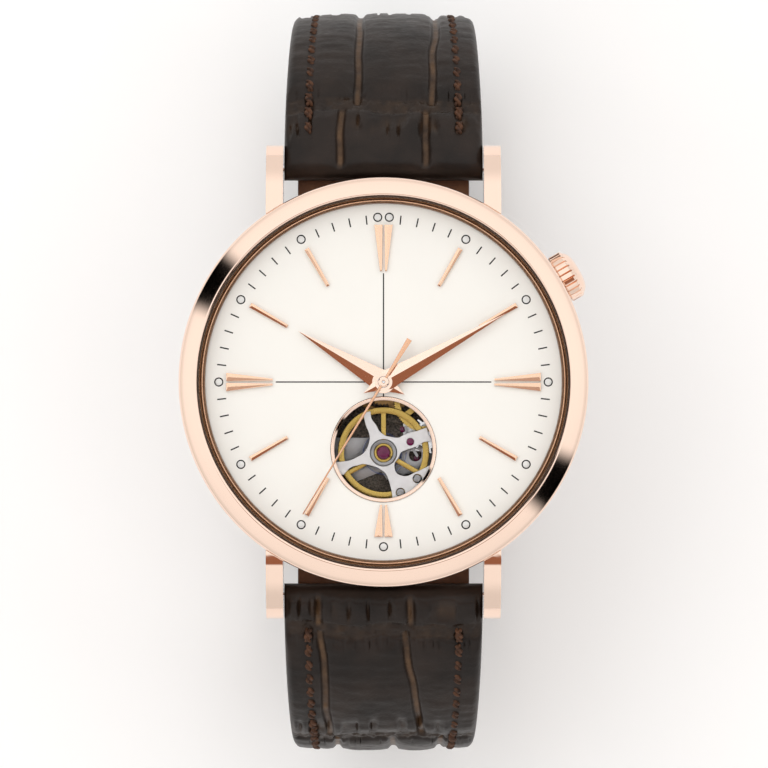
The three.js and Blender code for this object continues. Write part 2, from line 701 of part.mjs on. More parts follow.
// Fifteen pointed club teeth that all lean one way, on a thin rim with four arms.
function escapeWheel() {
  const teeth = 15;
  const tip = 1.9;
  const points = [];
  for (let i = 0; i < teeth; i += 1) {
    const start = (i / teeth) * 2 * Math.PI;
    for (const [radius, share] of [[1.42, 0], [tip, 0.3], [tip, 0.48], [1.42, 0.4]]) {
      const angle = start + (share * 2 * Math.PI) / teeth;
      points.push([radius * Math.cos(angle), radius * Math.sin(angle)]);
    }
  }
  return plate(points, 3.92, 4.02, { at: ESCAPE_AT })
    .subtract(crossings(ESCAPE_AT, 0.6, 1.2, 4, 3, 5))
    .add(pinion(GEARS.escapePinion, ESCAPE_AT, PHASE.escape, 4, 4.38))
    .add(disc(0.12, 3.44, 5.15, { at: ESCAPE_AT, segments: TINY }));
}

// A lever from the pallet arbor to the balance, and two arms with stones round the escape wheel.
function palletFork() {
  const z0 = 3.92;
  const z1 = 4.04;
  const towardsBalance = Math.atan2(BALANCE_AT.y - PALLET_AT.y, BALANCE_AT.x - PALLET_AT.x);
  const fromEscape = Math.atan2(PALLET_AT.y - ESCAPE_AT.y, PALLET_AT.x - ESCAPE_AT.x);
  const tail = polar(2.1, towardsBalance, PALLET_AT);
  const entry = polar(2.5, fromEscape - rad(38), ESCAPE_AT);
  const exit = polar(2.5, fromEscape + rad(38), ESCAPE_AT);
  return link(PALLET_AT, tail, 0.3, z0, z1)
    .add(link(PALLET_AT, entry, 0.28, z0, z1))
    .add(link(PALLET_AT, exit, 0.28, z0, z1))
    .add(disc(0.12, 3.44, 4.3, { at: PALLET_AT, segments: TINY }));
}

function balanceWheel() {
  const z0 = 4.5;
  const z1 = 4.85;
  const arms = [90, 210, 330].map((degrees) => {
    const end = polar(4.1, rad(degrees), BALANCE_AT);
    return link(BALANCE_AT, end, 0.5, z0, 4.7);
  });
  const rollerPin = polar(0.5, rad(21), BALANCE_AT);
  return join(disc(4.6, z0, z1, { bore: 3.95, at: BALANCE_AT }), ...arms)
    .add(disc(0.7, z0, z1, { at: BALANCE_AT, segments: SMALL }))
    .add(disc(0.12, 3.45, 5.27, { at: BALANCE_AT, segments: TINY }))
    .add(disc(0.7, 4.16, 4.26, { at: BALANCE_AT, segments: SMALL }))
    .add(disc(0.09, 4.08, 4.2, { at: rollerPin, segments: TINY }));
}

function buildTrain() {
  part('barrel', barrel(), BRASS);
  part('barrel_arbor', barrelArbor(), STEEL);
  part('center_wheel', centreWheel(), BRASS);
  part('cannon_pinion', cannonPinion(), STEEL);
  part('minute_wheel', minuteWheel(), BRASS);
  part('hour_wheel', hourWheel(), BRASS);
  part('third_wheel', thirdWheel(), BRASS);
  part('fourth_wheel', fourthWheel(), BRASS);
  part('seconds_pinion', secondsPinion(), STEEL);
  part('escape_wheel', escapeWheel(), STEEL);
  part('pallet_fork', palletFork(), STEEL);
  part('balance_wheel', balanceWheel(), BRASS);
}

// ---------------------------------------------------------------- winding

function rotor() {
  const reach = 12.3;
  const half = block(2 * reach + 1, reach + 1, 4, 0, -(reach + 1) / 2, 2);
  return disc(reach, 1.4, 1.7)
    .add(disc(reach, 1.4, 2.35, { bore: 9.9 }))
    .intersect(half)
    .add(disc(1.6, 1.4, 1.7, { segments: MEDIUM }));
}

function rotorGear() {
  return wheel(GEARS.rotorGear, CENTRE, 0, 2.55, 2.75)
    .add(disc(0.8, 1.72, 2.9, { segments: SMALL }));
}

function reversingWheel() {
  return wheel(GEARS.reversing, REVERSING_AT, PHASE.reversing, 2.55, 2.75)
    .subtract(disc(0.24, 2, 3, { at: REVERSING_AT, segments: TINY }));
}

function ratchetWheel() {
  return wheel(GEARS.ratchet, BARREL_AT, PHASE.ratchet, 2.6, 2.82)
    .subtract(disc(0.42, 2, 3, { at: BARREL_AT, segments: SMALL }));
}

function crownWheel() {
  return wheel(GEARS.crownWheel, CROWN_WHEEL_AT, 0, 2.6, 2.82)
    .subtract(disc(0.55, 2, 3, { at: CROWN_WHEEL_AT, segments: SMALL }));
}

// The pawl that holds the ratchet wheel: a lever on a post, with its beak near the teeth.
function click() {
  const towardsRatchet = Math.atan2(BARREL_AT.y - CLICK_AT.y, BARREL_AT.x - CLICK_AT.x);
  const beak = polar(4.75, towardsRatchet + Math.PI - rad(16), BARREL_AT);
  return link(CLICK_AT, beak, 0.45, 2.6, 2.82)
    .add(disc(0.6, 2.6, 2.82, { at: CLICK_AT, segments: SMALL }))
    .subtract(disc(0.3, 2, 3, { at: CLICK_AT, segments: TINY }));
}

// A lever on the dial side of the plate that moves the sliding pinion when the crown is pulled.
function settingLever() {
  const pivot = polar(2.3, STEM_ANGLE + Math.PI / 2, onStem(10.4));
  const nose = polar(0.9, STEM_ANGLE + Math.PI / 2, onStem(8.6));
  const spur = polar(3.2, STEM_ANGLE + Math.PI / 2, onStem(8.9));
  return join(link(pivot, nose, 0.8, 5.95, 6.15), link(pivot, spur, 0.7, 5.95, 6.15));
}

function buildWinding() {
  part('rotor', rotor(), STEEL);
  part('rotor_gear', rotorGear(), STEEL);
  part('reversing_wheel', reversingWheel(), RUBY);
  part('ratchet_wheel', ratchetWheel(), STEEL);
  part('crown_wheel', crownWheel(), STEEL);
  part('click', click(), STEEL);
  part('setting_lever', settingLever(), STEEL);
}

// ---------------------------------------------------------------- crown and stem

// The grip's outline: one point at each rib and one in each flute.
function fluteOutline() {
  const points = [];
  for (let i = 0; i < CROWN_FLUTES; i += 1) {
    for (const [share, depth] of [[0, 0], [0.5, 0.22]]) {
      const angle = ((i + share) / CROWN_FLUTES) * 2 * Math.PI;
      const reach = CROWN_RADIUS - depth;
      points.push([reach * Math.cos(angle), reach * Math.sin(angle)]);
    }
  }
  return points;
}

function crown() {
  const blank = revolve([
    [0, 20.5], [2.4, 20.5], [CROWN_RADIUS, 20.65], [CROWN_RADIUS, 21.75], [2.35, 21.95],
    [1.9, 22.4], [1.1, 22.65], [0, 22.7],
  ], { segments: MEDIUM });
  return blank.intersect(plate(fluteOutline(), 20, 23))
    .subtract(disc(1.1, 20, 21.3, { segments: SMALL }))
    .subtract(disc(0.42, 21, 21.7, { segments: SMALL }));
}

function windingPinion() {
  return pinion(GEARS.winding, CENTRE, 0, 9.8, 10.8)
    .subtract(disc(0.42, 9, 12, { segments: SMALL }));
}

function slidingPinion() {
  const groove = disc(1.2, 8.6, 8.9, { bore: 0.65, segments: SMALL });
  return disc(0.85, 8.2, 9.4, { segments: SMALL })
    .subtract(groove)
    .subtract(disc(0.42, 8, 10, { segments: SMALL }));
}

function buildStem() {
  part('crown', crown(), ROSE_GOLD, stemAxis);
  part('winding_stem', disc(0.38, 6.9, 21.6, { segments: SMALL }), STEEL, stemAxis);
  part('crown_tube', disc(0.97, 16.9, 21.25, { bore: 0.55, segments: SMALL }), STEEL, stemAxis);
  part('winding_pinion', windingPinion(), STEEL, stemAxis);
  part('sliding_pinion', slidingPinion(), STEEL, stemAxis);
}

// ---------------------------------------------------------------- strap

// The middle line of the closed strap from a spring bar to the buckle, as [y, z] on one side.
function strapCurve() {
  const top = { width: 37, height: 22.3, z: -15.5 };
  const bottom = { centre: 18, width: 19, height: 22 };
  const start = Math.acos(BAR.y / top.width);
  const path = new THREE.CurvePath();
  path.add(new THREE.EllipseCurve(0, top.z, top.width, top.height, start, 0, true));
  path.add(new THREE.EllipseCurve(bottom.centre, top.z, bottom.width, bottom.height, 0, -Math.PI / 2, true));
  return path;
}

// The 6 o'clock half goes on under the buckle's front bar, then outside the other half to its tip.
function longStrapCurve() {
  const path = strapCurve();
  const lapZ = -39.9;
  path.add(new THREE.LineCurve(new THREE.Vector2(18, -37.5), new THREE.Vector2(9, -37.5)));
  path.add(new THREE.CubicBezierCurve(
    new THREE.Vector2(9, -37.5),
    new THREE.Vector2(5.5, -37.5),
    new THREE.Vector2(3.5, lapZ),
    new THREE.Vector2(0, lapZ),
  ));
  path.add(new THREE.LineCurve(new THREE.Vector2(0, lapZ), new THREE.Vector2(-18, lapZ)));
  path.add(new THREE.EllipseCurve(-18, -15.5, 21.4, 24.4, -Math.PI / 2, -Math.PI / 2 - rad(62), true));
  return path;
}

function shortStrapCurve() {
  const path = strapCurve();
  path.add(new THREE.LineCurve(new THREE.Vector2(18, -37.5), new THREE.Vector2(BUCKLE_BAR.y, -37.5)));
  return path;
}

// One station of the strap at a distance from the spring bar: its point and outward normal.
function stationAt(path, distance) {
  const share = THREE.MathUtils.clamp(distance / path.getLength(), 0, 1);
  const point = path.getPointAt(share);
  const tangent = path.getTangentAt(share);
  const before = Math.min(distance, 0);
  return {
    y: point.x + tangent.x * before,
    z: point.y + tangent.y * before,
    normal: [-tangent.y, tangent.x],
  };
}

function leatherAt(distance) {
  const share = THREE.MathUtils.smoothstep(distance, 0, LEATHER.blend);
  const between = (from, to) => from + (to - from) * share;
  return {
    halfWidth: between(STRAP_WIDTH.lug, STRAP_WIDTH.buckle) / 2,
    outer: between(LEATHER.lug.outer, LEATHER.buckle.outer),
    split: between(LEATHER.lug.split, LEATHER.buckle.split),
    inner: between(LEATHER.lug.inner, LEATHER.buckle.inner),
  };
}

// A closed strip of leather through stations with a half width and a lower and upper offset.
function ribbon(stations, side) {
  const positions = [];
  for (const { y, z, normal, halfWidth, low, high } of stations) {
    for (const [x, offset] of [[-halfWidth, low], [halfWidth, low], [halfWidth, high], [-halfWidth, high]]) {
      positions.push(side * x, side * (y + normal[0] * offset), z + normal[1] * offset);
    }
  }
  const index = [0, 1, 2, 0, 2, 3];
  const last = (stations.length - 1) * 4;
  index.push(last, last + 2, last + 1, last, last + 3, last + 2);
  for (let base = 0; base < last; base += 4) {
    for (let k = 0; k < 4; k += 1) {
      const next = (k + 1) % 4;
      index.push(base + k, base + k + 4, base + next + 4, base + k, base + next + 4, base + next);
    }
  }
  const geometry = new THREE.BufferGeometry();
  geometry.setAttribute('position', new THREE.Float32BufferAttribute(positions, 3));
  geometry.setIndex(index);
  return solid(geometry);
}

// Distances from the spring bar at even steps, up to an end that may come before the path's.
function stepsAlong(path, end) {
  const length = path.getLength();
  const count = Math.ceil(length / STRAP_STEP);
  const even = Array.from({ length: count + 1 }, (_, i) => (length * i) / count);
  return [...even.filter((distance) => distance < end - 0.5), end];
}

// The outer leather has a round nose that closes over the spring bar.
function outerLeather(path, side, end) {
  const nose = { depth: 1.36, middle: 0.265, half: 1.63 };
  const stations = [80, 50, 25].map((degrees) => {
    const distance = -nose.depth * Math.sin(rad(degrees));
    const half = nose.half * Math.cos(rad(degrees));
    return {
      ...stationAt(path, distance),
      halfWidth: STRAP_WIDTH.lug / 2,
      low: nose.middle - half,
      high: nose.middle + half,
    };
  });
  for (const distance of stepsAlong(path, end)) {
    const { halfWidth, outer, split } = leatherAt(distance);
    stations.push({ ...stationAt(path, distance), halfWidth, low: split, high: outer });
  }
  return ribbon(stations, side).subtract(crossBar(0.8, 12, side * BAR.y, BAR.z));
}

// The lining is thinner, and its flat lip shows between the strap and the case.
function liningLeather(path, side, end) {
  const stations = stepsAlong(path, end).map((distance) => {
    const { halfWidth, split, inner } = leatherAt(distance);
    const low = inner;
    const high = split - LEATHER.gap;
    return { ...stationAt(path, distance), halfWidth: halfWidth - 0.4, low, high };
  });
  const lip = block(17.3, 5, 0.83, 0, side * 19, 0.565).subtract(disc(18.95, 0, 2));
  return ribbon(stations, side).add(lip);
}

// The rounded tip of the long half, cut from its last stretch.
function tipCut(path, side) {
  const end = path.getPointAt(1);
  const tangent = path.getTangentAt(1);
  const reach = 9.2;
  const circleCentre = { y: side * (end.x - tangent.x * reach), z: end.y - tangent.y * reach };
  const outline = circle(reach, MEDIUM);
  const blank = shapeOf([[-20, -20], [20, -20], [20, 20], [-20, 20]], [outline]);
  const geometry = new THREE.ExtrudeGeometry(blank, { depth: 8, bevelEnabled: false });
  geometry.translate(0, 0, -4);
  const along = new THREE.Vector3(0, side * tangent.x, tangent.y);
  const across = new THREE.Vector3(1, 0, 0);
  geometry.applyMatrix4(new THREE.Matrix4().makeBasis(across, along, across.clone().cross(along)));
  geometry.translate(0, circleCentre.y, circleCentre.z);
  const ahead = new THREE.BoxGeometry(40, 12, 8);
  ahead.translate(0, 6, 0);
  ahead.applyMatrix4(new THREE.Matrix4().makeBasis(across, along, across.clone().cross(along)));
  ahead.translate(0, circleCentre.y, circleCentre.z);
  return solid(geometry).intersect(solid(ahead));
}

// The one slot that is in use, which the tongue goes through. The strap has no free holes.
function tongueSlot() {
  return block(TONGUE.slotWidth, 6.6, 8, 0, -2.1, -38.5);
}

function buildStrap() {
  const short = shortStrapCurve();
  const shortEnd = short.getLength();
  const notch = block(TONGUE.notchWidth, 8, 5, 0, BUCKLE_BAR.y, BUCKLE_BAR.z);
  const loop = crossBar(1.2, 9, BUCKLE_BAR.y, BUCKLE_BAR.z);
  const pinHole = crossBar(0.66, 12, BUCKLE_BAR.y, BUCKLE_BAR.z);
  const shortOuter = outerLeather(short, 1, shortEnd).add(loop).subtract(pinHole).subtract(notch);
  part('strap_12_outer', shortOuter, LEATHER_DARK);
  part('strap_12_lining', liningLeather(short, 1, shortEnd - 3), LEATHER_LINING);

  const long = longStrapCurve();
  const longEnd = long.getLength();
  const cuts = tongueSlot().add(tipCut(long, -1));
  part('strap_6_outer', outerLeather(long, -1, longEnd).subtract(cuts), LEATHER_DARK);
  part('strap_6_lining', liningLeather(long, -1, longEnd).subtract(cuts), LEATHER_LINING);
}

// A leather loop round both halves of the strap.
function keeper(y0, y1) {
  const wall = 0.8;
  const middle = (y0 + y1) / 2;
  const height = -36.4 - wall - REST_Z + 2 * wall;
  const centreZ = REST_Z + height / 2;
  const outside = block(18.3 + 2 * wall, y1 - y0, height, 0, middle, centreZ);
  return outside.subtract(block(18.3, 10, height - 2 * wall, 0, middle, centreZ));
}

function buildKeepers() {
  part('fixed_keeper', keeper(6, 9.5), LEATHER_DARK);
  part('free_keeper', keeper(11.8, 15.8), LEATHER_DARK);
}

// ---------------------------------------------------------------- bars and buckle

function springBar(side) {
  const y = side * BAR.y;
  return crossBar(BAR.radius, 9.9, y, BAR.z).add(crossBar(0.4, 10.9, y, BAR.z, TINY));
}

function buckleFrame() {
  const inside = 9.45;
  const outside = 11.2;
  const front = { near: -7.8, far: -10.2, top: -39.5 };
  const armSide = [
    [BUCKLE_BAR.y, BUCKLE_BAR.z + 1.3], [BUCKLE_BAR.y, BUCKLE_BAR.z - 1.3],
    [front.near, REST_Z], [front.far + 0.6, REST_Z], [front.far, REST_Z + 0.8], [front.far, front.top - 0.4],
    [front.far + 0.6, front.top],
  ];
  const arms = [[-outside, -inside], [inside, outside]].map(([x0, x1]) => crosswise(armSide, x0, x1));
  const eyes = crossBar(1.3, outside, BUCKLE_BAR.y, BUCKLE_BAR.z)
    .subtract(block(2 * inside, 4, 4, 0, BUCKLE_BAR.y, BUCKLE_BAR.z));
  const barSide = [
    [front.near, REST_Z], [front.far + 0.6, REST_Z], [front.far, REST_Z + 0.8], [front.far, front.top - 0.4],
    [front.far + 0.6, front.top], [front.near - 0.4, front.top], [front.near, front.top - 0.6],
  ];
  const frontBar = crosswise(barSide, -inside - 0.5, inside + 0.5);
  const groove = block(TONGUE.grooveWidth, 4, 1, 0, -9, REST_Z + 0.5);
  return join(...arms, eyes, frontBar)
    .subtract(crossBar(0.65, 12, BUCKLE_BAR.y, BUCKLE_BAR.z))
    .subtract(groove);
}

function buckleTongue() {
  const side = [[1.6, -38.35], [0.6, -37.75], [-6.6, -40.52], [-7.2, -40.93], [-10.4, -40.95],
    [-10.4, -41.3], [-10.1, -41.65], [-6.9, -41.65]];
  const half = TONGUE.width / 2;
  return crossBar(1.05, half, BUCKLE_BAR.y, BUCKLE_BAR.z)
    .add(crosswise(side, -half, half))
    .subtract(crossBar(0.66, 2, BUCKLE_BAR.y, BUCKLE_BAR.z));
}

function buildHardware() {
  part('spring_bar_12', springBar(1), STEEL);
  part('spring_bar_6', springBar(-1), STEEL);
  part('buckle_frame', buckleFrame(), ROSE_GOLD);
  part('buckle_tongue', buckleTongue(), ROSE_GOLD);
  part('buckle_bar', crossBar(BUCKLE_BAR.radius, 11.1, BUCKLE_BAR.y, BUCKLE_BAR.z), STEEL);
}

buildCase();
buildDialSide();
buildPlates();
buildSprings();
buildTrain();
buildWinding();
buildStem();
buildStrap();
buildKeepers();
buildHardware();

export default watch;
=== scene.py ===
# The looks of an open-heart automatic wristwatch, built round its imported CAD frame.
# Shapes are written in millimetres and turned into metres when a mesh is made. +Z points out of
# the dial, +Y to 12 o'clock and +X to 3 o'clock.

import json
from math import acos, atan2, cos, pi, radians, sin, sqrt

import bmesh
import bpy
import numpy as np
from mathutils import Matrix, Vector

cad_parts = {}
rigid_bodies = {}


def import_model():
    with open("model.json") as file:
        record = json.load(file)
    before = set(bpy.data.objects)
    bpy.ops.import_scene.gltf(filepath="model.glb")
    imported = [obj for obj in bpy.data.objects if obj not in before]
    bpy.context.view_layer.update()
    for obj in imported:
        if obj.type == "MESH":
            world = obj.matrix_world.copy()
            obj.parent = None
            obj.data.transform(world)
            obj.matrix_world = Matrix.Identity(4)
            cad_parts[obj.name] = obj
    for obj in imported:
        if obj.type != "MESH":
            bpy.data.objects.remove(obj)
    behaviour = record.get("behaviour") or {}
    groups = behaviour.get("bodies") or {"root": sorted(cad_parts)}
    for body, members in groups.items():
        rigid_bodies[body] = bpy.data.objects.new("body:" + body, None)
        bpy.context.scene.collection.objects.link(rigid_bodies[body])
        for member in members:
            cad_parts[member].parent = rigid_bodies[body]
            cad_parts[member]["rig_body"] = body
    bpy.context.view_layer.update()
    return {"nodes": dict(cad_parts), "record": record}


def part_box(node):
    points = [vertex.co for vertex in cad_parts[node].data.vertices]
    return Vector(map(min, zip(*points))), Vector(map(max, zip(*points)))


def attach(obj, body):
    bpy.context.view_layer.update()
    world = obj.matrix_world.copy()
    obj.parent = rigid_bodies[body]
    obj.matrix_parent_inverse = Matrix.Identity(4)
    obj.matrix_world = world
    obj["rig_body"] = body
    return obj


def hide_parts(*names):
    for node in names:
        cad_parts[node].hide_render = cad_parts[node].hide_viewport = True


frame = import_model()

MM = 0.001
FINE = 256     # segments of a large round piece
ROUND = 96     # segments of a small one
SEED = 7

NODES = frame["nodes"]
SLOT_OF = {row["node"]: row["material_slot"] for row in frame["record"]["subparts"]}


def box_mm(node):
    """A CAD node's lowest and highest corner, in millimetres."""
    low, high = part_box(node)
    return np.array(low) / MM, np.array(high) / MM


def middle_mm(node):
    low, high = box_mm(node)
    return (low + high) / 2


# ---------------------------------------------------------------- places from the frame

BEZEL_TOP = box_mm("bezel")[1][2]
MARKER_TOP = box_mm("dial")[1][2]
DIAL_TOP = 6.9
APERTURE = middle_mm("aperture_ring")
HUB = tuple(middle_mm("balance_jewel")[:2])    # the balance's axis
BAR = middle_mm("spring_bar_12")
BUCKLE_BAR = middle_mm("buckle_bar")
REST_Z = box_mm("fixed_keeper")[0][2]
STEM_ANGLE = radians(30)
STEM_Z = middle_mm("winding_stem")[2]


# ---------------------------------------------------------------- node materials

class Surface:
    """A Principled material and short ways to wire noise, colour and bump into it."""

    def __init__(self, name, colour, roughness, metallic=0.0, **sockets):
        self.material = bpy.data.materials.new(name)
        self.material.use_nodes = True
        self.nodes = self.material.node_tree.nodes
        self.links = self.material.node_tree.links
        self.shader = self.nodes["Principled BSDF"]
        self.shader.inputs["Base Color"].default_value = (*colour, 1)
        self.shader.inputs["Roughness"].default_value = roughness
        self.shader.inputs["Metallic"].default_value = metallic
        for socket, value in sockets.items():
            self.shader.inputs[socket.replace("_", " ")].default_value = value
        self.height = None

    def node(self, kind, **values):
        made = self.nodes.new(kind)
        for key, value in values.items():
            if key in made.inputs:
                made.inputs[key].default_value = value
            else:
                setattr(made, key, value)
        return made

    def link(self, source, target):
        self.links.new(source, target)

    def place(self, scale=(1, 1, 1)):
        """Object coordinates in metres, stretched by a scale."""
        where = self.node("ShaderNodeTexCoord")
        mapping = self.node("ShaderNodeMapping")
        mapping.inputs["Scale"].default_value = scale
        self.link(where.outputs["Object"], mapping.inputs["Vector"])
        return mapping.outputs["Vector"]

    def noise(self, scale, detail=4, stretch=(1, 1, 1), rough=0.5):
        texture = self.node("ShaderNodeTexNoise", Scale=scale, Detail=detail, Roughness=rough)
        self.link(self.place(stretch), texture.inputs["Vector"])
        return texture.outputs["Fac"]

    def cells(self, scale):
        texture = self.node("ShaderNodeTexVoronoi", Scale=scale)
        self.link(self.place(), texture.inputs["Vector"])
        return texture.outputs["Distance"]

    def attribute(self, name):
        return self.node("ShaderNodeAttribute", attribute_name=name).outputs["Fac"]

    def ramp(self, factor, stops):
        made = self.node("ShaderNodeValToRGB")
        points = made.color_ramp.elements
        while len(points) < len(stops):
            points.new(0.5)
        for point, (position, colour) in zip(points, stops):
            point.position = position
            point.color = (*colour, 1)
        self.link(factor, made.inputs["Fac"])
        return made.outputs["Color"]

    def spread(self, factor, low, high):
        """A factor from 0 to 1 spread between two values."""
        made = self.node("ShaderNodeMapRange")
        made.inputs["To Min"].default_value = low
        made.inputs["To Max"].default_value = high
        self.link(factor, made.inputs["Value"])
        return made.outputs["Result"]

    def mix(self, factor, first, second):
        made = self.node("ShaderNodeMix", data_type="RGBA")
        self.link(factor, made.inputs[0])
        self.link(first, made.inputs[6])
        self.link(second, made.inputs[7])
        return made.outputs[2]

    def colour(self, source):
        self.link(source, self.shader.inputs["Base Color"])

    def roughness(self, factor, low, high):
        self.link(self.spread(factor, low, high), self.shader.inputs["Roughness"])

    def bump(self, source, strength, distance):
        made = self.node("ShaderNodeBump", Strength=strength, Distance=distance)
        self.link(source, made.inputs["Height"])
        if self.height is not None:
            self.link(self.height, made.inputs["Normal"])
        self.height = made.outputs["Normal"]
        self.link(self.height, self.shader.inputs["Normal"])


def tinted(surface, colour, change, scale):
    """Slight, slow variation of a colour over a surface."""
    darker = tuple(channel * (1 - change) for channel in colour)
    surface.colour(surface.ramp(surface.noise(scale), [(0.3, darker), (0.7, colour)]))


def polished_metal(name, colour, rough=0.06, change=0.03):
    """Polished metal with faint wear in its gloss."""
    made = Surface(name, colour, rough, metallic=1)
    tinted(made, colour, change, 120)
    made.roughness(made.noise(700, 6), rough * 0.8, rough * 1.5)
    return made.material


def brushed_metal(name, colour, rough=0.28, stretch=(1, 1, 40)):
    """Satin metal with a fine grain along one direction."""
    made = Surface(name, colour, rough, metallic=1)
    tinted(made, colour, 0.08, 300)
    grain = made.noise(900, 5, stretch)
    made.roughness(grain, rough * 0.75, rough * 1.3)
    made.bump(grain, 0.12, 0.00002)
    return made.material


def frosted_metal(name, colour, rough=0.42):
    """Fine-blasted plate with a soft sparkle."""
    made = Surface(name, colour, rough, metallic=1)
    tinted(made, colour, 0.12, 900)
    made.bump(made.cells(9000), 0.25, 0.00003)
    made.roughness(made.noise(4000, 3), rough * 0.8, rough * 1.2)
    return made.material


def finish(name, colour, rough, tint=None, stops=None, bumps=(), gloss=None, metallic=0.0, **sockets):
    """A material from rows of numbers: each feature comes from a noise of its own scale and detail.

    tint is (change, scale); stops is (scale, detail, (place, colour), (place, colour)); a bump is
    (scale, detail, strength, distance), from cells where its detail is 0; gloss is (scale, detail,
    lowest roughness, highest roughness).
    """
    made = Surface(name, colour, rough, metallic, **sockets)
    if tint:
        tinted(made, colour, *tint)
    if stops:
        made.colour(made.ramp(made.noise(*stops[:2]), stops[2:]))
    for scale, detail, strength, distance in bumps:
        made.bump(made.noise(scale, detail) if detail else made.cells(scale), strength, distance)
    if gloss:
        made.roughness(made.noise(*gloss[:2]), *gloss[2:])
    return made.material


def croc_leather():
    """Satin dark brown scales; the vertex attribute groove lightens the bottoms to tan."""
    made = Surface("croc_leather", (0.014, 0.008, 0.006), 0.36, Specular_IOR_Level=0.24)
    scales = made.ramp(made.noise(260, 6), [(0.3, (0.0075, 0.0045, 0.0032)), (0.7, (0.02, 0.0122, 0.0088))])
    bottoms = made.ramp(made.noise(600, 4), [(0.3, (0.04, 0.02, 0.009)), (0.7, (0.125, 0.068, 0.032))])
    made.colour(made.mix(made.attribute("groove"), scales, bottoms))
    made.roughness(made.noise(1500, 6), 0.3, 0.5)
    made.bump(made.noise(2600, 5), 0.3, 0.00008)
    made.bump(made.cells(5200), 0.18, 0.00004)
    return made.material


ROSE = (0.91, 0.695, 0.575)
M = {
    "rose_gold": polished_metal("polished_rose_gold", ROSE),
    "dark_rose": brushed_metal("dark_rose_plate", (0.2, 0.1, 0.05), 0.26, (1, 1, 60)),
    "dial_enamel": finish("dial_lacquer", (0.87, 0.852, 0.805), 0.45, tint=(0.015, 250),
                          bumps=[(12000, 2, 0.04, 0.00001)], Coat_Weight=0.15, Coat_Roughness=0.2),
    "sapphire": finish("clear_sapphire", (1, 1, 1), 0.02, gloss=(200, 2, 0.01, 0.03),
                       Transmission_Weight=1.0, IOR=1.0, Alpha=0.04),
    "black_rubber": finish("black_rubber", (0.05, 0.025, 0.012), 0.65, bumps=[(5000, 3, 0.2, 0.00002)],
                           gloss=(900, 3, 0.55, 0.75)),
    "nickel_plate": frosted_metal("frosted_nickel", (0.4, 0.4, 0.41)),
    "bright_nickel": frosted_metal("bright_nickel", (0.72, 0.72, 0.73), 0.36),
    "polished_steel": polished_metal("polished_steel", (0.66, 0.67, 0.69), 0.14),
    "gilt_brass": brushed_metal("gilt_brass", (0.5, 0.35, 0.1), 0.27),
    "blued_steel": polished_metal("blued_steel", (0.05, 0.08, 0.22), 0.18),
    "ruby": finish("ruby_stone", (0.13, 0.006, 0.055), 0.08, tint=(0.35, 1500), Coat_Weight=0.3,
                   Coat_Roughness=0.05, Specular_IOR_Level=0.3),
    "croc_leather": croc_leather(),
    "lining_leather": finish("lining_leather", (0.16, 0.07, 0.032), 0.7,
                             stops=(500, 6, (0.3, (0.115, 0.046, 0.02)), (0.7, (0.2, 0.088, 0.04))),
                             bumps=[(3400, 0, 0.35, 0.00006)], gloss=(1200, 4, 0.6, 0.8), Sheen_Weight=0.2),
    "ink": finish("dial_ink", (0.006, 0.006, 0.007), 0.5, bumps=[(9000, 2, 0.1, 0.00001)],
                  gloss=(5000, 2, 0.4, 0.6), Specular_IOR_Level=0.1),
    "pale_dot": finish("pale_dot", (0.78, 0.78, 0.76), 0.35, tint=(0.06, 900), Coat_Weight=0.3,
                       Coat_Roughness=0.1),
    # painted shade: a dark, coarsely textured metal whose darkness stands in for the shadow at the bottoms of
    # the recesses; the dark wedge at the bridge's foot uses it too
    "painted_recess_shade": finish("painted_recess_shade_plate", (0.03, 0.024, 0.02), 0.5, metallic=0.4,
                        stops=(5200, 6, (0.35, (0.012, 0.009, 0.007)), (0.7, (0.16, 0.13, 0.1))),
                        bumps=[(4200, 5, 0.6, 0.00006)], gloss=(1500, 3, 0.4, 0.65)),
    # painted shade: frosted nickel darkened for the main plate, which lies in the opening's shadow
    "shade_darkened_nickel": frosted_metal("shade_darkened_nickel", (0.09, 0.085, 0.08)),
    # painted shade: brass darkened for the wheels that lie in shadow under the opening
    "shade_darkened_brass": brushed_metal("shade_darkened_brass", (0.2, 0.12, 0.05), 0.3),
    "marker_gold": polished_metal("marker_gold", (0.84, 0.58, 0.42), 0.12),
    "copper_gold": polished_metal("copper_gold", (0.72, 0.43, 0.28), 0.14),
    "grey_steel": brushed_metal("grey_steel", (0.3, 0.3, 0.31), 0.3),
    "thread": finish("waxed_thread", (0.05, 0.022, 0.01), 0.6,
                     stops=(1800, 4, (0.3, (0.016, 0.007, 0.004)), (0.7, (0.1, 0.042, 0.02))),
                     bumps=[(9000, 3, 0.3, 0.00003)], Specular_IOR_Level=0.25),
}
for node, slot in SLOT_OF.items():
    NODES[node].data.materials.clear()
    NODES[node].data.materials.append(M[slot])
# painted shade: the main plate gets the darkened nickel for the shadow it lies in under the opening
NODES["main_plate"].data.materials[0] = M["shade_darkened_nickel"]
NODES["pallet_fork"].data.materials[0] = M["grey_steel"]
# painted shade: these wheels get the darkened brass for the shadow they lie in under the opening
for node in ("hour_wheel", "minute_wheel", "center_wheel", "third_wheel"):
    NODES[node].data.materials[0] = M["shade_darkened_brass"]


# ---------------------------------------------------------------- meshes

def shown(name, data):
    """A new object in the scene."""
    made = bpy.data.objects.new(name, data)
    bpy.context.scene.collection.objects.link(made)
    return made


def mesh_of(name, points, faces):
    mesh = bpy.data.meshes.new(name)
    mesh.from_pydata([tuple(p) for p in np.asarray(points, float) * MM], [], [tuple(f) for f in faces])
    return mesh


def make(name, points, faces, node, material=None, replaces=True, sharp=35):
    """A piece from points in millimetres, riding with a CAD node's body and in its material slot."""
    piece = shown(name, mesh_of(name, points, faces))
    piece.data.validate()
    piece.data.update()
    return settle(piece, node, material, replaces, sharp)


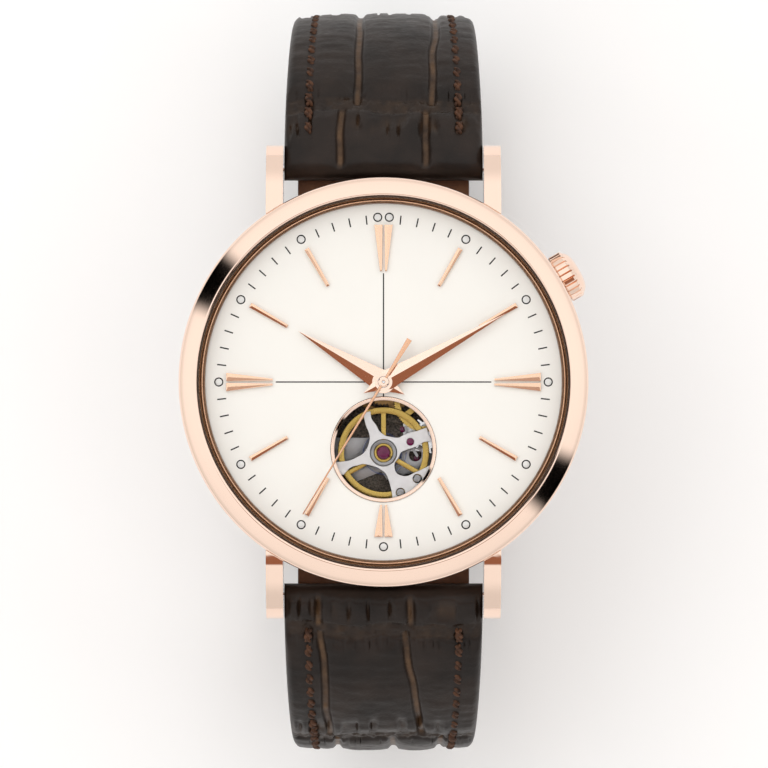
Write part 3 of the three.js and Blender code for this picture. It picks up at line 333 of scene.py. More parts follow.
def settle(piece, node, material=None, replaces=True, sharp=35):
    slot = SLOT_OF[node]
    piece.data.materials.clear()
    piece.data.materials.append(M[material or slot])
    piece.data.polygons.foreach_set("use_smooth", [True] * len(piece.data.polygons))
    piece.data.set_sharp_from_angle(angle=radians(sharp))
    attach(piece, NODES[node]["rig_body"])
    if replaces:
        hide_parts(node)
    return piece


def rounded(profile, radius=0.06, steps=3):
    """A closed [r, z] loop with its corners rounded, apart from those on the axis."""
    count = len(profile)
    out = []
    for i, corner in enumerate(profile):
        point = np.array(corner, float)
        before = np.array(profile[i - 1], float) - point
        after = np.array(profile[(i + 1) % count], float) - point
        reach = min(radius, 0.45 * np.linalg.norm(before), 0.45 * np.linalg.norm(after))
        if point[0] == 0 or reach < 1e-4:
            out.append(point)
            continue
        start = point + before / np.linalg.norm(before) * reach
        end = point + after / np.linalg.norm(after) * reach
        for k in range(steps + 1):
            t = k / steps
            out.append((1 - t) ** 2 * start + 2 * t * (1 - t) * point + t ** 2 * end)
    return out


def lathe_mesh(profile, at=(0, 0), segments=FINE, radius=0.06):
    """Points and faces of a loop of [r, z] spun about an upright axis."""
    loop = rounded(profile, radius) if radius else [np.array(p, float) for p in profile]
    points, faces, rings = [], [], []
    for r, z in loop:
        if r < 1e-9:
            rings.append([len(points)] * segments)
            points.append((at[0], at[1], z))
            continue
        rings.append(list(range(len(points), len(points) + segments)))
        for k in range(segments):
            angle = 2 * pi * k / segments
            points.append((at[0] + r * cos(angle), at[1] + r * sin(angle), z))
    for a, b in zip(rings, rings[1:] + rings[:1]):
        for k in range(segments):
            n = (k + 1) % segments
            face = list(dict.fromkeys([a[k], a[n], b[n], b[k]]))
            if len(face) > 2:
                faces.append(face)
    return points, faces


def lathe(name, profile, node, at=(0, 0), segments=FINE, radius=0.06, **more):
    return make(name, *lathe_mesh(profile, at, segments, radius), node, **more)


def disc(radius, z0, z1, bore=0.0):
    return [[bore, z0], [radius, z0], [radius, z1], [bore, z1]]


def arc(x, y, radius, start, end, steps=24):
    """Points on an arc; angles in radians."""
    angles = np.linspace(start, end, steps)
    return [(x + radius * cos(a), y + radius * sin(a)) for a in angles]


def circle(radius, at=(0, 0), steps=ROUND):
    return arc(at[0], at[1], radius, 0, 2 * pi * (1 - 1 / steps), steps)


def turned(points, angle):
    c, s = cos(angle), sin(angle)
    return [(x * c - y * s, x * s + y * c) for x, y in points]


def outline_mesh(name, outline, z0, z1, holes=(), bevel=0.04):
    """A flat piece with a bevelled edge, filled by a 2D curve so that it can have holes."""
    curve = bpy.data.curves.new(name, "CURVE")
    curve.dimensions = "2D"
    curve.fill_mode = "BOTH"
    curve.extrude = ((z1 - z0) / 2 - bevel) * MM
    curve.bevel_depth = bevel * MM
    curve.bevel_resolution = 2
    curve.offset = -bevel * MM
    for loop in (outline, *holes):
        spline = curve.splines.new("POLY")
        spline.points.add(len(loop) - 1)
        for point, (x, y) in zip(spline.points, loop):
            point.co = (x * MM, y * MM, 0, 1)
        spline.use_cyclic_u = True
    holder = shown(name, curve)
    mesh = bpy.data.meshes.new_from_object(holder.evaluated_get(bpy.context.evaluated_depsgraph_get()))
    bpy.data.objects.remove(holder)
    mesh.transform(Matrix.Translation((0, 0, (z0 + z1) / 2 * MM)))
    return mesh


def plate(name, outline, z0, z1, node, holes=(), bevel=0.04, **more):
    piece = shown(name, outline_mesh(name, outline, z0, z1, holes, bevel))
    weld(piece)
    return settle(piece, node, **more)


def soften(piece, width, angle=30, segments=3, harden=True):
    """A bevel over edges sharper than an angle in degrees."""
    edges = piece.modifiers.new("edges", "BEVEL")
    edges.width = width * MM
    edges.segments = segments
    edges.angle_limit = radians(angle)
    edges.harden_normals = harden


def weld(piece, distance=1e-7):
    """Joins doubled points, so that a mesh is one closed body."""
    work = bmesh.new()
    work.from_mesh(piece.data)
    bmesh.ops.remove_doubles(work, verts=work.verts, dist=distance)
    bmesh.ops.recalc_face_normals(work, faces=work.faces)
    work.to_mesh(piece.data)
    work.free()


# ---------------------------------------------------------------- camera, light and floor

def camera_and_floor():
    """A camera straight above the dial, and a pale floor under the closed strap."""
    distance, width, sensor = 650, 76.65, 36
    camera = bpy.data.cameras.new("camera")
    camera.sensor_width = sensor
    camera.lens = sensor * distance / width
    camera.clip_end = 10
    holder = shown("camera", camera)
    holder.location = (0.05 * MM, -0.2 * MM, (BEZEL_TOP + distance) * MM)
    bpy.context.scene.camera = holder

    bpy.ops.mesh.primitive_plane_add(size=6, location=(0, 0, (REST_Z - 0.02) * MM))
    floor = bpy.context.object
    floor.name = "floor"
    paper = Surface("pale_floor", (0.99, 0.99, 0.99), 0.9)
    tinted(paper, (0.99, 0.99, 0.99), 0.01, 2)
    floor.data.materials.append(paper.material)


def studio_world():
    """A bright tent with two narrow dark gaps at opposite sides and a small copper card overhead."""
    world = bpy.data.worlds.new("studio")
    bpy.context.scene.world = world
    world.use_nodes = True
    nodes, links = world.node_tree.nodes, world.node_tree.links
    background = nodes["Background"]
    coordinates = nodes.new("ShaderNodeTexCoord")
    split = nodes.new("ShaderNodeSeparateXYZ")
    links.new(coordinates.outputs["Generated"], split.inputs[0])

    def math(operation, first, second=0.0):
        made = nodes.new("ShaderNodeMath")
        made.operation = operation
        for socket, value in zip(made.inputs, (first, second)):
            if isinstance(value, (int, float)):
                socket.default_value = value
            else:
                links.new(value, socket)
        return made.outputs[0]

    def soft_step(value, low, high):
        made = nodes.new("ShaderNodeMapRange")
        made.interpolation_type = "SMOOTHSTEP"
        ends, results = sorted((low, high)), (0, 1) if low < high else (1, 0)
        made.inputs["From Min"].default_value, made.inputs["From Max"].default_value = ends
        made.inputs["To Min"].default_value, made.inputs["To Max"].default_value = results
        links.new(value, made.inputs["Value"])
        return made.outputs["Result"]

    x, y, z = split.outputs
    gap = radians(149.5)
    # the distance of a direction from the upright plane through both gaps
    across = math("ABSOLUTE", math("SUBTRACT", math("MULTIPLY", x, sin(gap)), math("MULTIPLY", y, cos(gap))))
    level = math("POWER", math("ADD", math("MULTIPLY", x, x), math("MULTIPLY", y, y)), 0.5)
    ratio = math("DIVIDE", across, math("MAXIMUM", level, 0.001))
    outside_gap = soft_step(ratio, 0.1, 0.2)
    near_zenith = math("SUBTRACT", 1.0, soft_step(level, 0.5, 0.6))
    open_tent = math("MAXIMUM", outside_gap, near_zenith)
    # a card below the camera, towards 6 o'clock, which the lower facets of the hands reflect
    card = math("MULTIPLY", math("SUBTRACT", 1.0, soft_step(y, -0.2, -0.12)), soft_step(y, -0.5, -0.42))
    card = math("MULTIPLY", card, math("SUBTRACT", 1.0, soft_step(math("ABSOLUTE", x), 0.32, 0.42)))
    # the tent dims a little towards 6 o'clock, and more towards the horizon
    side = math("SUBTRACT", 1.0, math("MULTIPLY", soft_step(y, 0.1, -0.7), 0.12))
    low = math("SUBTRACT", 1.0, math("MULTIPLY", soft_step(level, 0.75, 0.99), 0.22))
    strength = math("MULTIPLY", math("MULTIPLY", side, low), math("MULTIPLY", open_tent, 1.12))
    links.new(strength, background.inputs["Strength"])
    tone = nodes.new("ShaderNodeMix")
    tone.data_type = "RGBA"
    tone.inputs[6].default_value = (1.0, 0.99, 0.975, 1)
    tone.inputs[7].default_value = (0.3, 0.13, 0.075, 1)
    links.new(card, tone.inputs[0])
    links.new(tone.outputs[2], background.inputs["Color"])


def area_light(name, place, target, size, watts):
    light = bpy.data.lights.new(name, "AREA")
    light.size = size
    light.energy = watts
    holder = shown(name, light)
    holder.location = place
    holder.rotation_euler = (Vector(target) - Vector(place)).to_track_quat("-Z", "Y").to_euler()
    holder.visible_glossy = False


# ---------------------------------------------------------------- case

def boolean(piece, other, operation):
    modifier = piece.modifiers.new(operation, "BOOLEAN")
    modifier.operation = operation
    modifier.object = other
    modifier.solver = "EXACT"
    mesh = bpy.data.meshes.new_from_object(piece.evaluated_get(bpy.context.evaluated_depsgraph_get()))
    piece.modifiers.clear()
    old = piece.data
    piece.data = mesh
    bpy.data.meshes.remove(old)
    bpy.data.objects.remove(other)


def loose(name, points, faces):
    """An unridden object in millimetres, to be joined or cut."""
    piece = shown(name, mesh_of(name, points, faces))
    weld(piece)
    return piece


def along_stem(points):
    """Points whose Z runs along the winding stem, moved to the stem's place."""
    turn = Matrix.Rotation(STEM_ANGLE, 4, "Z") @ Matrix.Rotation(pi / 2, 4, "Y")
    place = Matrix.Translation((0, 0, STEM_Z)) @ turn
    return [place @ Vector(p) for p in points]


def stem_rod(radius, start, end):
    points, faces = lathe_mesh(disc(radius, start, end), segments=48, radius=0)
    return along_stem(points), faces


def prism(low, high):
    """Points and faces between two matching outlines."""
    n = len(low)
    faces = [list(range(n))[::-1], list(range(n, 2 * n))]
    faces += [[i, (i + 1) % n, (i + 1) % n + n, i + n] for i in range(n)]
    return [*low, *high], faces


def prism_x(outline, x0, x1):
    """A [y, z] outline drawn from x0 to x1."""
    return prism([(x0, y, z) for y, z in outline], [(x1, y, z) for y, z in outline])


def prism_z(outline, z0, z1):
    """An [x, y] outline drawn from z0 to z1."""
    return prism([(x, y, z0) for x, y in outline], [(x, y, z1) for x, y in outline])


def box_at(middle, size, angle):
    """The corners of a rectangle about a place, turned by an angle."""
    x, y = size[0] / 2, size[1] / 2
    corners = turned([(-x, -y), (x, -y), (x, y), (-x, y)], angle)
    return [(middle[0] + px, middle[1] + py) for px, py in corners]


# the ways in which a skin's faces can run round
OUTWARD, INWARD, BACKWARD = (0, 1, 2, 3), (0, 3, 2, 1), (3, 2, 1, 0)


def skin(rows, loop, order=OUTWARD, first=0, closed=False, ends=True):
    """Faces over rings of points, each joined to the next, with both ends filled unless it closes."""
    faces = []
    for i in range(rows if closed else rows - 1):
        a, b = first + i * loop, first + (i + 1) % rows * loop
        for k in range(loop):
            n = (k + 1) % loop
            corners = (a + k, b + k, b + n, a + n)
            faces.append(tuple(corners[c] for c in order))
    if ends and not closed:
        turn = 1 if order == OUTWARD else -1
        faces.append(tuple(range(first, first + loop))[::turn])
        faces.append(tuple(range(first + (rows - 1) * loop, first + rows * loop))[::-turn])
    return faces


def smooth_line(corners, steps=6):
    """A Catmull-Rom line through corners, for a flowing outline."""
    p = [np.array(c, float) for c in corners]
    p = [2 * p[0] - p[1], *p, 2 * p[-1] - p[-2]]
    out = []
    for a, b, c, d in zip(p, p[1:], p[2:], p[3:]):
        for k in range(steps):
            t = k / steps
            out.append(tuple(0.5 * (2 * b + (c - a) * t + (2 * a - 5 * b + 4 * c - d) * t ** 2
                                    + (3 * b - a - 3 * c + d) * t ** 3)))
    out.append(tuple(p[-2]))
    return out


def lug_solid(side_x, side_y):
    """A lug: a downturned horn between two upright faces."""
    top = smooth_line([(14, 8.12), (17.6, 8.12), (19.4, 7.62), (21, 6.82), (22.4, 5.72), (23.1, 4.98),
                       (23.68, 3.9), (23.88, 2.7)])
    under = smooth_line([(23.58, 1.0), (22.6, 0.52), (19, 0.92), (16, 1.92), (14, 3)])
    outline = [(side_y * y, z) for y, z in top + under]
    inner, outer = sorted((side_x * 10.07, side_x * 11.78))
    return loose("lug", *prism_x(outline, inner, outer))


def case_middle():
    band = [[16.8, 1.37], [17.9, 1.37], [18.5, 1.62], [19.05, 2.3], [19.7, 3.25], [20.1, 4.2], [20.28, 5.1],
            [20.28, 7.13], [18.57, 7.13], [18.57, 6.37], [16.8, 6.37]]
    body = loose("case_band", *lathe_mesh(band, radius=0.1))
    for side_x in (1, -1):
        for side_y in (1, -1):
            boolean(body, lug_solid(side_x, side_y), "UNION")
    inside = [[0, 0], [16.8, 0], [16.8, 6.37], [18.57, 6.37], [18.57, 7.13], [20.55, 7.13], [20.55, 9.5],
              [0, 9.5]]
    boolean(body, loose("bore", *lathe_mesh(inside, radius=0)), "DIFFERENCE")
    for side in (1, -1):    # the spring bars' holes through all four lugs
        hole = circle(0.5, (side * BAR[1], BAR[2]), 24)
        boolean(body, loose("hole", *prism_x(hole, -11.1, 11.1)), "DIFFERENCE")
    boolean(body, loose("tube_bore", *stem_rod(1.02, 14, 22)), "DIFFERENCE")
    body.name = "case_body"
    soften(body, 0.09, 40, 2, harden=False)
    settle(body, "case_middle", sharp=30)


def case():
    case_middle()
    # a broad polished slope, which shows one even tone from above
    lathe("bezel_ring", [
        [18.62, 7.2], [20.5, 7.2], [20.5, 8.22], [20.36, 8.5], [20.1, 8.68], [19.5, 8.96],
        [18.82, 9.24], [18.62, 9.12],
    ], "bezel", segments=2 * FINE, radius=0.16)
    lathe("rehaut_steps", [
        [17.84, 6.96], [18.48, 6.96], [18.48, 8.43], [18.36, 8.43], [18.26, 8.2], [18.2, 8.2], [18.12, 7.98],
        [18.06, 7.98], [17.98, 7.75], [17.93, 7.75], [17.86, 7.45],
    ], "rehaut_ring", radius=0.02)
    lathe("rehaut_line", disc(18.17, 8.1, 8.26, 18.1), "rehaut_ring", radius=0, material="copper_gold",
          replaces=False)
    dome = [(r, 10.88 - 1.63 * (r / 18.4) ** 2) for r in np.linspace(18.38, 0, 14)]
    hollow = [(r, 9.7 - 1.18 * (r / 17.6) ** 2) for r in np.linspace(0, 17.6, 12)]
    lathe("crystal_dome", [*hollow, (18.38, 8.54), *dome], "crystal", radius=0)
    lathe("crystal_seal", disc(18.59, 8.52, 9.08, 18.48), "crystal_gasket", radius=0.02)


# ---------------------------------------------------------------- dial

TRACK = {"inner": 15.85, "outer": 16.75, "circles": 16.5, "circle": 0.46}


def ring_shape(name, at, outer, inner, z0, z1, node, **more):
    return lathe(name, disc(outer, z0, z1, inner), node, at=at, segments=48, radius=0, **more)


def strip(width, r0, r1, clockwise):
    """The corners of a radial bar of even width."""
    half = width / 2
    return turned([(-half, r0), (half, r0), (half, r1), (-half, r1)], -clockwise)


def flat_set(name, outlines, z0, z1, node, **more):
    """Many small upright prisms as one piece."""
    points, faces = [], []
    for outline in outlines:
        corners, sides = prism_z(outline, z0, z1)
        faces += [[len(points) + i for i in face] for face in sides]
        points += corners
    return make(name, points, faces, node, **more)


def dial_plate():
    plate("dial_plate", circle(18.33, steps=FINE), 6.52, DIAL_TOP, "dial",
          holes=[circle(5.32, APERTURE, ROUND), circle(1.0)], bevel=0.02, sharp=8)
    low, high = DIAL_TOP - 0.005, DIAL_TOP + 0.012
    ticks = [strip(0.13, TRACK["inner"], TRACK["outer"], radians(6 * minute))
             for minute in range(60) if minute % 5]
    cross = [
        [(-10.8, -0.06), (-1.1, -0.06), (-1.1, 0.06), (-10.8, 0.06)],
        [(1.1, -0.06), (10.8, -0.06), (10.8, 0.06), (1.1, 0.06)],
        [(-0.06, 1.1), (0.06, 1.1), (0.06, 10.9), (-0.06, 10.9)],
        [(-0.06, -1.43), (0.06, -1.43), (0.06, -1.05), (-0.06, -1.05)],
    ]
    flat_set("minute_track", ticks + cross, low, high, "dial", material="ink", replaces=False)
    spots = []
    for hour in range(1, 13):
        angle = radians(90 - 30 * hour)
        x, y = TRACK["circles"] * cos(angle), TRACK["circles"] * sin(angle)
        spots += [(x - 0.58, y), (x + 0.58, y)] if hour == 12 else [(x, y)]
    for i, spot in enumerate(spots):
        ring_shape(f"hour_circle_{i}", spot, TRACK["circle"], TRACK["circle"] - 0.12, low, high, "dial",
                   material="ink", replaces=False)
        lathe(f"hour_dot_{i}", [[0, low], [0.33, low], [0.33, high], [0.2, high + 0.05], [0, high + 0.07]],
              "dial", at=spot, segments=32, radius=0, material="pale_dot", replaces=False)


def ridged(outline, z0, z_edge, z_ridge, ridge):
    """A faceted bar: a low outline, the same outline a little higher, and a ridge line above it."""
    points, faces = prism_z(outline, z0, z_edge)
    points += [(x, y, z_ridge) for x, y in ridge]
    del faces[1]
    n = len(outline)
    a, b = 2 * n, 2 * n + 1
    # outline corners go: inner left, inner right, outer right, outer left
    faces += [[n + 1, n + 2, b, a], [n + 3, n, a, b], [n, n + 1, a], [n + 2, n + 3, b]]
    return points, faces


def hour_marker(name, clockwise, inner, outer, half_in, half_out, shift=0.0):
    turn = -clockwise
    outline = turned([(shift - half_in, inner), (shift + half_in, inner),
                      (shift * 0.9 + half_out, outer), (shift * 0.9 - half_out, outer)], turn)
    ridge = turned([(shift, inner + 0.18), (shift * 0.9, outer - 0.18)], turn)
    points, faces = ridged(outline, DIAL_TOP - 0.02, MARKER_TOP - 0.045, MARKER_TOP, ridge)
    make(name, points, faces, "dial", material="marker_gold", replaces=False, sharp=10)


def markers():
    for hour in range(1, 13):
        clockwise = radians(30 * hour)
        if hour % 3:
            hour_marker(f"marker_{hour}", clockwise, 11.1, 15.4, 0.175, 0.25)
            continue
        inner, outer = (12.3, 15.5) if hour == 6 else (11.1, 15.75)
        for side, label in ((1, "a"), (-1, "b")):
            # each leaf of a pair widens outwards, and a thin gap is left between the two
            leaf = turned([(side * 0.15, inner), (side * 0.34, inner), (side * 0.92, outer),
                           (side * 0.10, outer)], -clockwise)
            if side < 0:
                leaf = [leaf[1], leaf[0], leaf[3], leaf[2]]
            ridge = turned([(side * 0.245, inner + 0.15), (side * 0.5, outer - 0.15)], -clockwise)
            points, faces = ridged(leaf, DIAL_TOP - 0.02, MARKER_TOP - 0.035, MARKER_TOP, ridge)
            make(f"marker_{hour}{label}", points, faces, "dial", material="marker_gold", replaces=False,
                 sharp=10)


HANDS = {"hour": radians(300.8), "minute": radians(60.8), "seconds": radians(211.4)}


def kite_hand(name, node, clockwise, tip, tail, half, widest, hub, bore):
    """A kite folded along its middle, with a round hub that has a bore."""
    low, high = box_mm(node)
    z0, z1 = low[2], high[2]
    edge, turn = z0 + 0.05, -clockwise
    left, right = (-half, widest), (half, widest)
    outline = turned([(0, tip), left, (0, -tail), right], turn)
    spine = turned([(0, tip - 0.1), (0, -tail + 0.1)], turn)
    points, faces = prism_z(outline, z0, edge)
    points += [(x, y, z1) for x, y in spine]
    del faces[1]
    faces += [[4, 5, 8], [5, 6, 9], [5, 9, 8], [6, 7, 9], [7, 4, 8], [7, 8, 9]]
    blade = loose(name, points, faces)
    hub_disc = lathe_mesh(disc(hub, z0, z1), segments=64, radius=0)
    bore_rod = lathe_mesh(disc(bore, z0 - 1, z1 + 1), segments=48, radius=0)
    boolean(blade, loose("hub", *hub_disc), "UNION")
    boolean(blade, loose("bore", *bore_rod), "DIFFERENCE")
    blade.name = name
    settle(blade, node, sharp=8)


def hands():
    kite_hand("hour_blade", "hour_hand", HANDS["hour"], 10.05, 2.5, 1.1, 0.4, 1.13, 0.87)
    kite_hand("minute_blade", "minute_hand", HANDS["minute"], 14.2, 2.35, 1.0, 0.4, 0.88, 0.58)
    low, high = box_mm("seconds_hand")
    needle = turned([(0.06, 15.5), (-0.06, 15.5), (-0.14, 0.4), (-0.12, -0.4), (-0.28, -5), (0.28, -5),
                     (0.12, -0.4), (0.14, 0.4)], -HANDS["seconds"])
    plate("seconds_needle", needle, low[2] + 0.02, high[2] - 0.02, "seconds_hand", bevel=0.03,
          material="copper_gold")
    lathe("seconds_hub", [[0.16, low[2]], [0.53, low[2]], [0.53, high[2] - 0.04], [0.42, high[2]],
                          [0.16, high[2]]], "seconds_hand", segments=64, radius=0.03, replaces=False)


# ---------------------------------------------------------------- balance opening

def union_plate(name, outlines, z0, z1, node, cuts=(), bevel=0.05, **more):
    """A bridge joined from outlines and cut by others, with softened edges."""
    body = loose("block", *prism_z(outlines[0], z0, z1))
    for loop in outlines[1:]:
        boolean(body, loose("block", *prism_z(loop, z0, z1)), "UNION")
    for loop in cuts:
        boolean(body, loose("block", *prism_z(loop, z0 - 1, z1 + 1)), "DIFFERENCE")
    body.name = name
    soften(body, bevel, 40, 2)
    return settle(body, node, **more)


def link_outline(start, end, width):
    """A bar with round ends between two points."""
    along = atan2(end[1] - start[1], end[0] - start[0])
    half = width / 2
    return (arc(*end[:2], half, along - pi / 2, along + pi / 2, 16)
            + arc(*start[:2], half, along + pi / 2, along + 3 * pi / 2, 16))


def on_circle(radius, degrees, at=(0, 0)):
    return (at[0] + radius * cos(radians(degrees)), at[1] + radius * sin(radians(degrees)))


def rim_arc(start, end, radius=5.4, steps=24):
    """Points along the opening's rim between two places in degrees, the short way round."""
    return arc(APERTURE[0], APERTURE[1], radius, radians(start), radians(end), steps)


def bridge_outline():
    """The balance bridge: an arm to the upper left, one to the right, and a broad foot below."""
    upper_left = smooth_line([
        (-1.32, -2.9), (-1.18, -3.7), (-0.7, -4.36), (-0.42, -4.9), (0.12, -5.33), (0.77, -5.5),
        (1.47, -5.58), (1.96, -5.34), (2.5, -5.1), (3.36, -4.9), (4.34, -4.52)], 5)
    right = [(4.55, -5.22), (4.93, -5.93), *smooth_line([
        (4.1, -6.03), (3.68, -6.25), (3.25, -6.52), (2.39, -6.79), (1.79, -7.06), (1.52, -7.6), (1.14, -8.14),
        (1.14, -8.68), (1.36, -9.17), (1.96, -9.42), (2.5, -9.39), (3.04, -9.12), (3.9, -8.74),
        (4.82, -8.25)], 5)]
    foot = rim_arc(-17, -80) + smooth_line([
        (0.82, -11.07), (0.55, -9.99), (0.22, -9.23), (-0.21, -8.85), (-0.86, -8.52), (-1.94, -8.25),
        (-2.59, -8.38), (-3.35, -8.63), (-4.0, -9.34)], 5)
    left = rim_arc(207, 194, 5.35, 6) + smooth_line([
        (-4.16, -7.98), (-3.35, -7.84), (-2.7, -7.55), (-2.05, -7.17), (-1.62, -6.52), (-1.45, -5.98),
        (-1.4, -5.55), (-1.51, -5.01), (-1.78, -4.36), (-1.95, -3.6), (-1.94, -3.1)], 5)
    return upper_left + right + foot + left


LEDGE_LOW, LEDGE_TOP = 2.99, 3.43
ARM_JEWEL = (2.69, -6.0)
SCREWS = {side: tuple(middle_mm(f"bridge_screw_{side}")[:2]) for side in ("right", "lower")}


def ledges():
    """The frosted ledges that show below the balance, and dark pieces of painted shade: a strip under the
    opening's upper rim and a floor deep under the balance.
    """
    # painted shade: a dark strip under the opening's upper rim, where the recess lies in shadow
    plate("upper_shade", rim_arc(28, 152, 5.5, 40), 3.42, 3.5, "train_bridge", bevel=0.02, replaces=False,
          material="painted_recess_shade")
    # painted shade: a dark disc deep under the balance stands in for the shadow in the opening
    lathe("painted_shade_floor", disc(5.6, 2.93, LEDGE_LOW), "train_bridge", at=APERTURE, radius=0.01,
          material="painted_recess_shade", replaces=False)
    left = [(-4.9, -5.6), (-1.5, -5.6), (-1.5, -6.4), (-2.1, -7.2), (-3.3, -7.9), (-4.2, -8.0), (-5.1, -7.6)]
    lower = [(-3.7, -8.85), (-2.7, -8.55), (-1.9, -8.3), (0.0, -8.7), (-1.0, -9.25), (-2.75, -9.95),
             (-3.5, -9.4)]
    right = [(1.7, -7.1), (3.3, -6.5), (4.6, -5.95), (5.0, -6.4), (4.8, -8.3), (3.0, -9.15), (1.9, -9.4),
             (1.3, -9.1), (1.1, -8.5), (1.8, -7.6)]
    for name, outline, node, holes in (("left", left, "balance_cock", []),
                                       ("lower", lower, "balance_cock", []),
                                       ("right", right, "main_plate", [circle(0.62, (3.2, -7.35), 40)])):
        plate(f"ledge_{name}", outline[::-1], LEDGE_LOW, LEDGE_TOP, node, holes=holes, bevel=0.05,
              replaces=False, material="nickel_plate")
    # a dark, textured wedge at the bridge's foot, in the dark recess material
    wedge = [(-2.7, -9.99), (-0.21, -9.01), (0.22, -9.66), (0.66, -10.4), (0.82, -11.07), (-0.86, -11.3),
             (-1.94, -10.9)]
    plate("ledge_dark_wedge", wedge[::-1], 3.0, 3.46, "balance_cock", bevel=0.04, replaces=False,
          material="painted_recess_shade")
    stone = [[0, LEDGE_LOW], [0.3, LEDGE_LOW], [0.3, LEDGE_TOP - 0.02], [0, LEDGE_TOP + 0.02]]
    for i, at in enumerate(((3.32, -7.66), (1.94, -4.77))):
        lathe(f"small_jewel_{i}", stone, "main_plate", at=at, segments=48, radius=0.02, material="ruby",
              replaces=False)


def bridge():
    low, high = (corner[2] for corner in box_mm("balance_bridge"))
    holes = [circle(1.36, HUB, 64), *[circle(0.46, at, 32) for at in SCREWS.values()],
             circle(0.38, ARM_JEWEL, 32)]
    union_plate("bridge_arms", [bridge_outline()], low, high, "balance_bridge", cuts=holes,
                material="bright_nickel")
    lathe("arm_jewel", [[0, low], [0.37, low], [0.37, high - 0.04], [0, high]], "balance_bridge",
          at=ARM_JEWEL, segments=48, radius=0.02, material="ruby", replaces=False)


def jewel():
    """The balance's jewel: a stone in a gilt setting in a steel seat."""
    top = box_mm("balance_jewel")[1][2]
    seat = [[0.93, 5.3], [1.3, 5.3], [1.3, top - 0.05], [1.2, top], [0.98, top - 0.06], [0.93, top - 0.15]]
    setting = [[0.66, 5.3], [0.92, 5.3], [0.92, top - 0.08], [0.8, top - 0.03], [0.68, top - 0.12]]
    stone = [[0, 5.32], [0.65, 5.32], [0.65, top - 0.16], [0.45, top - 0.08], [0, top - 0.04]]
    for name, profile, more in (("seat", seat, {"material": "grey_steel"}),
                                ("setting", setting, {"material": "gilt_brass", "replaces": False}),
                                ("stone", stone, {"replaces": False})):
        lathe(f"jewel_{name}", profile, "balance_jewel", at=HUB, segments=ROUND, radius=0.03, **more)


def bridge_screws():
    top = box_mm("balance_bridge")[1][2]
    profile = [[0, 5.27], [0.34, 5.27], [0.34, 5.5], [0.4, 5.5], [0.4, top + 0.02], [0.33, top + 0.07],
               [0, top + 0.07]]
    for side, at in SCREWS.items():
        head = loose("screw", *lathe_mesh(profile, at=at, segments=64, radius=0.03))
        slot = box_at(at, (1, 0.12), radians(35))
        boolean(head, loose("slot", *prism_z(slot, top - 0.04, top + 0.5)), "DIFFERENCE")
        head.name = f"screw_{side}"
        settle(head, f"bridge_screw_{side}", material="grey_steel")


def balance():
    low, high, staff_top = 4.5, 4.85, box_mm("balance_wheel")[1][2]
    lathe("balance_rim", disc(4.6, low, high, 3.95), "balance_wheel", at=HUB, segments=FINE)
    for i, degrees in enumerate((90, 210, 330)):
        plate(f"balance_arm_{i}", link_outline(HUB, on_circle(4.1, degrees, HUB), 0.5), low, 4.7,
              "balance_wheel", replaces=False)
    lathe("balance_staff", [
        [0, 3.45], [0.12, 3.45], [0.12, 4.16], [0.7, 4.16], [0.7, 4.26], [0.2, 4.26], [0.2, low], [0.7, low],
        [0.7, high], [0.12, high], [0.12, staff_top], [0, staff_top]],
        "balance_wheel", at=HUB, segments=64, radius=0.02, material="polished_steel", replaces=False)


def hairspring():
    """A flat spiral of four turns, as a thin upright ribbon."""
    points, stations, thin = [], 240, 0.02
    for t in np.linspace(0, 1, stations):
        angle, radius = t * 4 * 2 * pi, 0.4 + 1.9 * t
        for side, z in ((-1, 3.56), (1, 3.56), (1, 3.74), (-1, 3.74)):
            reach = radius + side * thin
            points.append((HUB[0] + reach * cos(angle), HUB[1] + reach * sin(angle), z))
    make("hairspring_coil", points, skin(stations, 4, INWARD), "hairspring")


def opening():
    low, high = box_mm("aperture_ring")
    lathe("aperture_rim", [[4.92, low[2]], [5.28, low[2]], [5.28, high[2] - 0.03], [5.2, high[2]],
                           [4.92, high[2] - 0.16]], "aperture_ring", at=APERTURE, radius=0.03)
    bridge()
    ledges()
    jewel()
    bridge_screws()
    balance()
    hairspring()


# ---------------------------------------------------------------- crown

def crown():
    """A domed cap on a ribbed grip; its axis is the winding stem's."""
    ribs, steps = 26, 20
    outline = [(20.5, 2.36), (20.56, 2.45), (20.66, 2.52), (21.72, 2.52), (21.86, 2.44), (21.95, 2.33),
               (22.2, 2.12), (22.4, 1.88), (22.56, 1.5), (22.65, 1.05), (22.69, 0.55), (22.7, 0.0)]
    points = []
    around = ribs * steps
    for along, radius in outline:
        grip = 1.0 if 20.6 < along < 21.9 else 0.0
        for k in range(around):
            share = (k % steps) / steps
            # flat lands with narrow grooves between them
            depth = 0.3 * grip * max(0.0, 1 - abs(share - 0.5) / 0.14)
            reach = max(radius - depth, 0.0)
            angle = 2 * pi * k / around
            points.append((reach * cos(angle), reach * sin(angle), along))
    faces = skin(len(outline), around, INWARD, ends=False)
    faces.append(list(range(around))[::-1])
    piece = make("crown_cap", along_stem(points), faces, "crown", sharp=28)
    weld(piece)
    # the crown slides over its tube and holds the stem's end
    boolean(piece, loose("tube_room", *stem_rod(1.1, 20, 21.3)), "DIFFERENCE")
    boolean(piece, loose("stem_hole", *stem_rod(0.42, 21, 21.7)), "DIFFERENCE")


# ---------------------------------------------------------------- strap

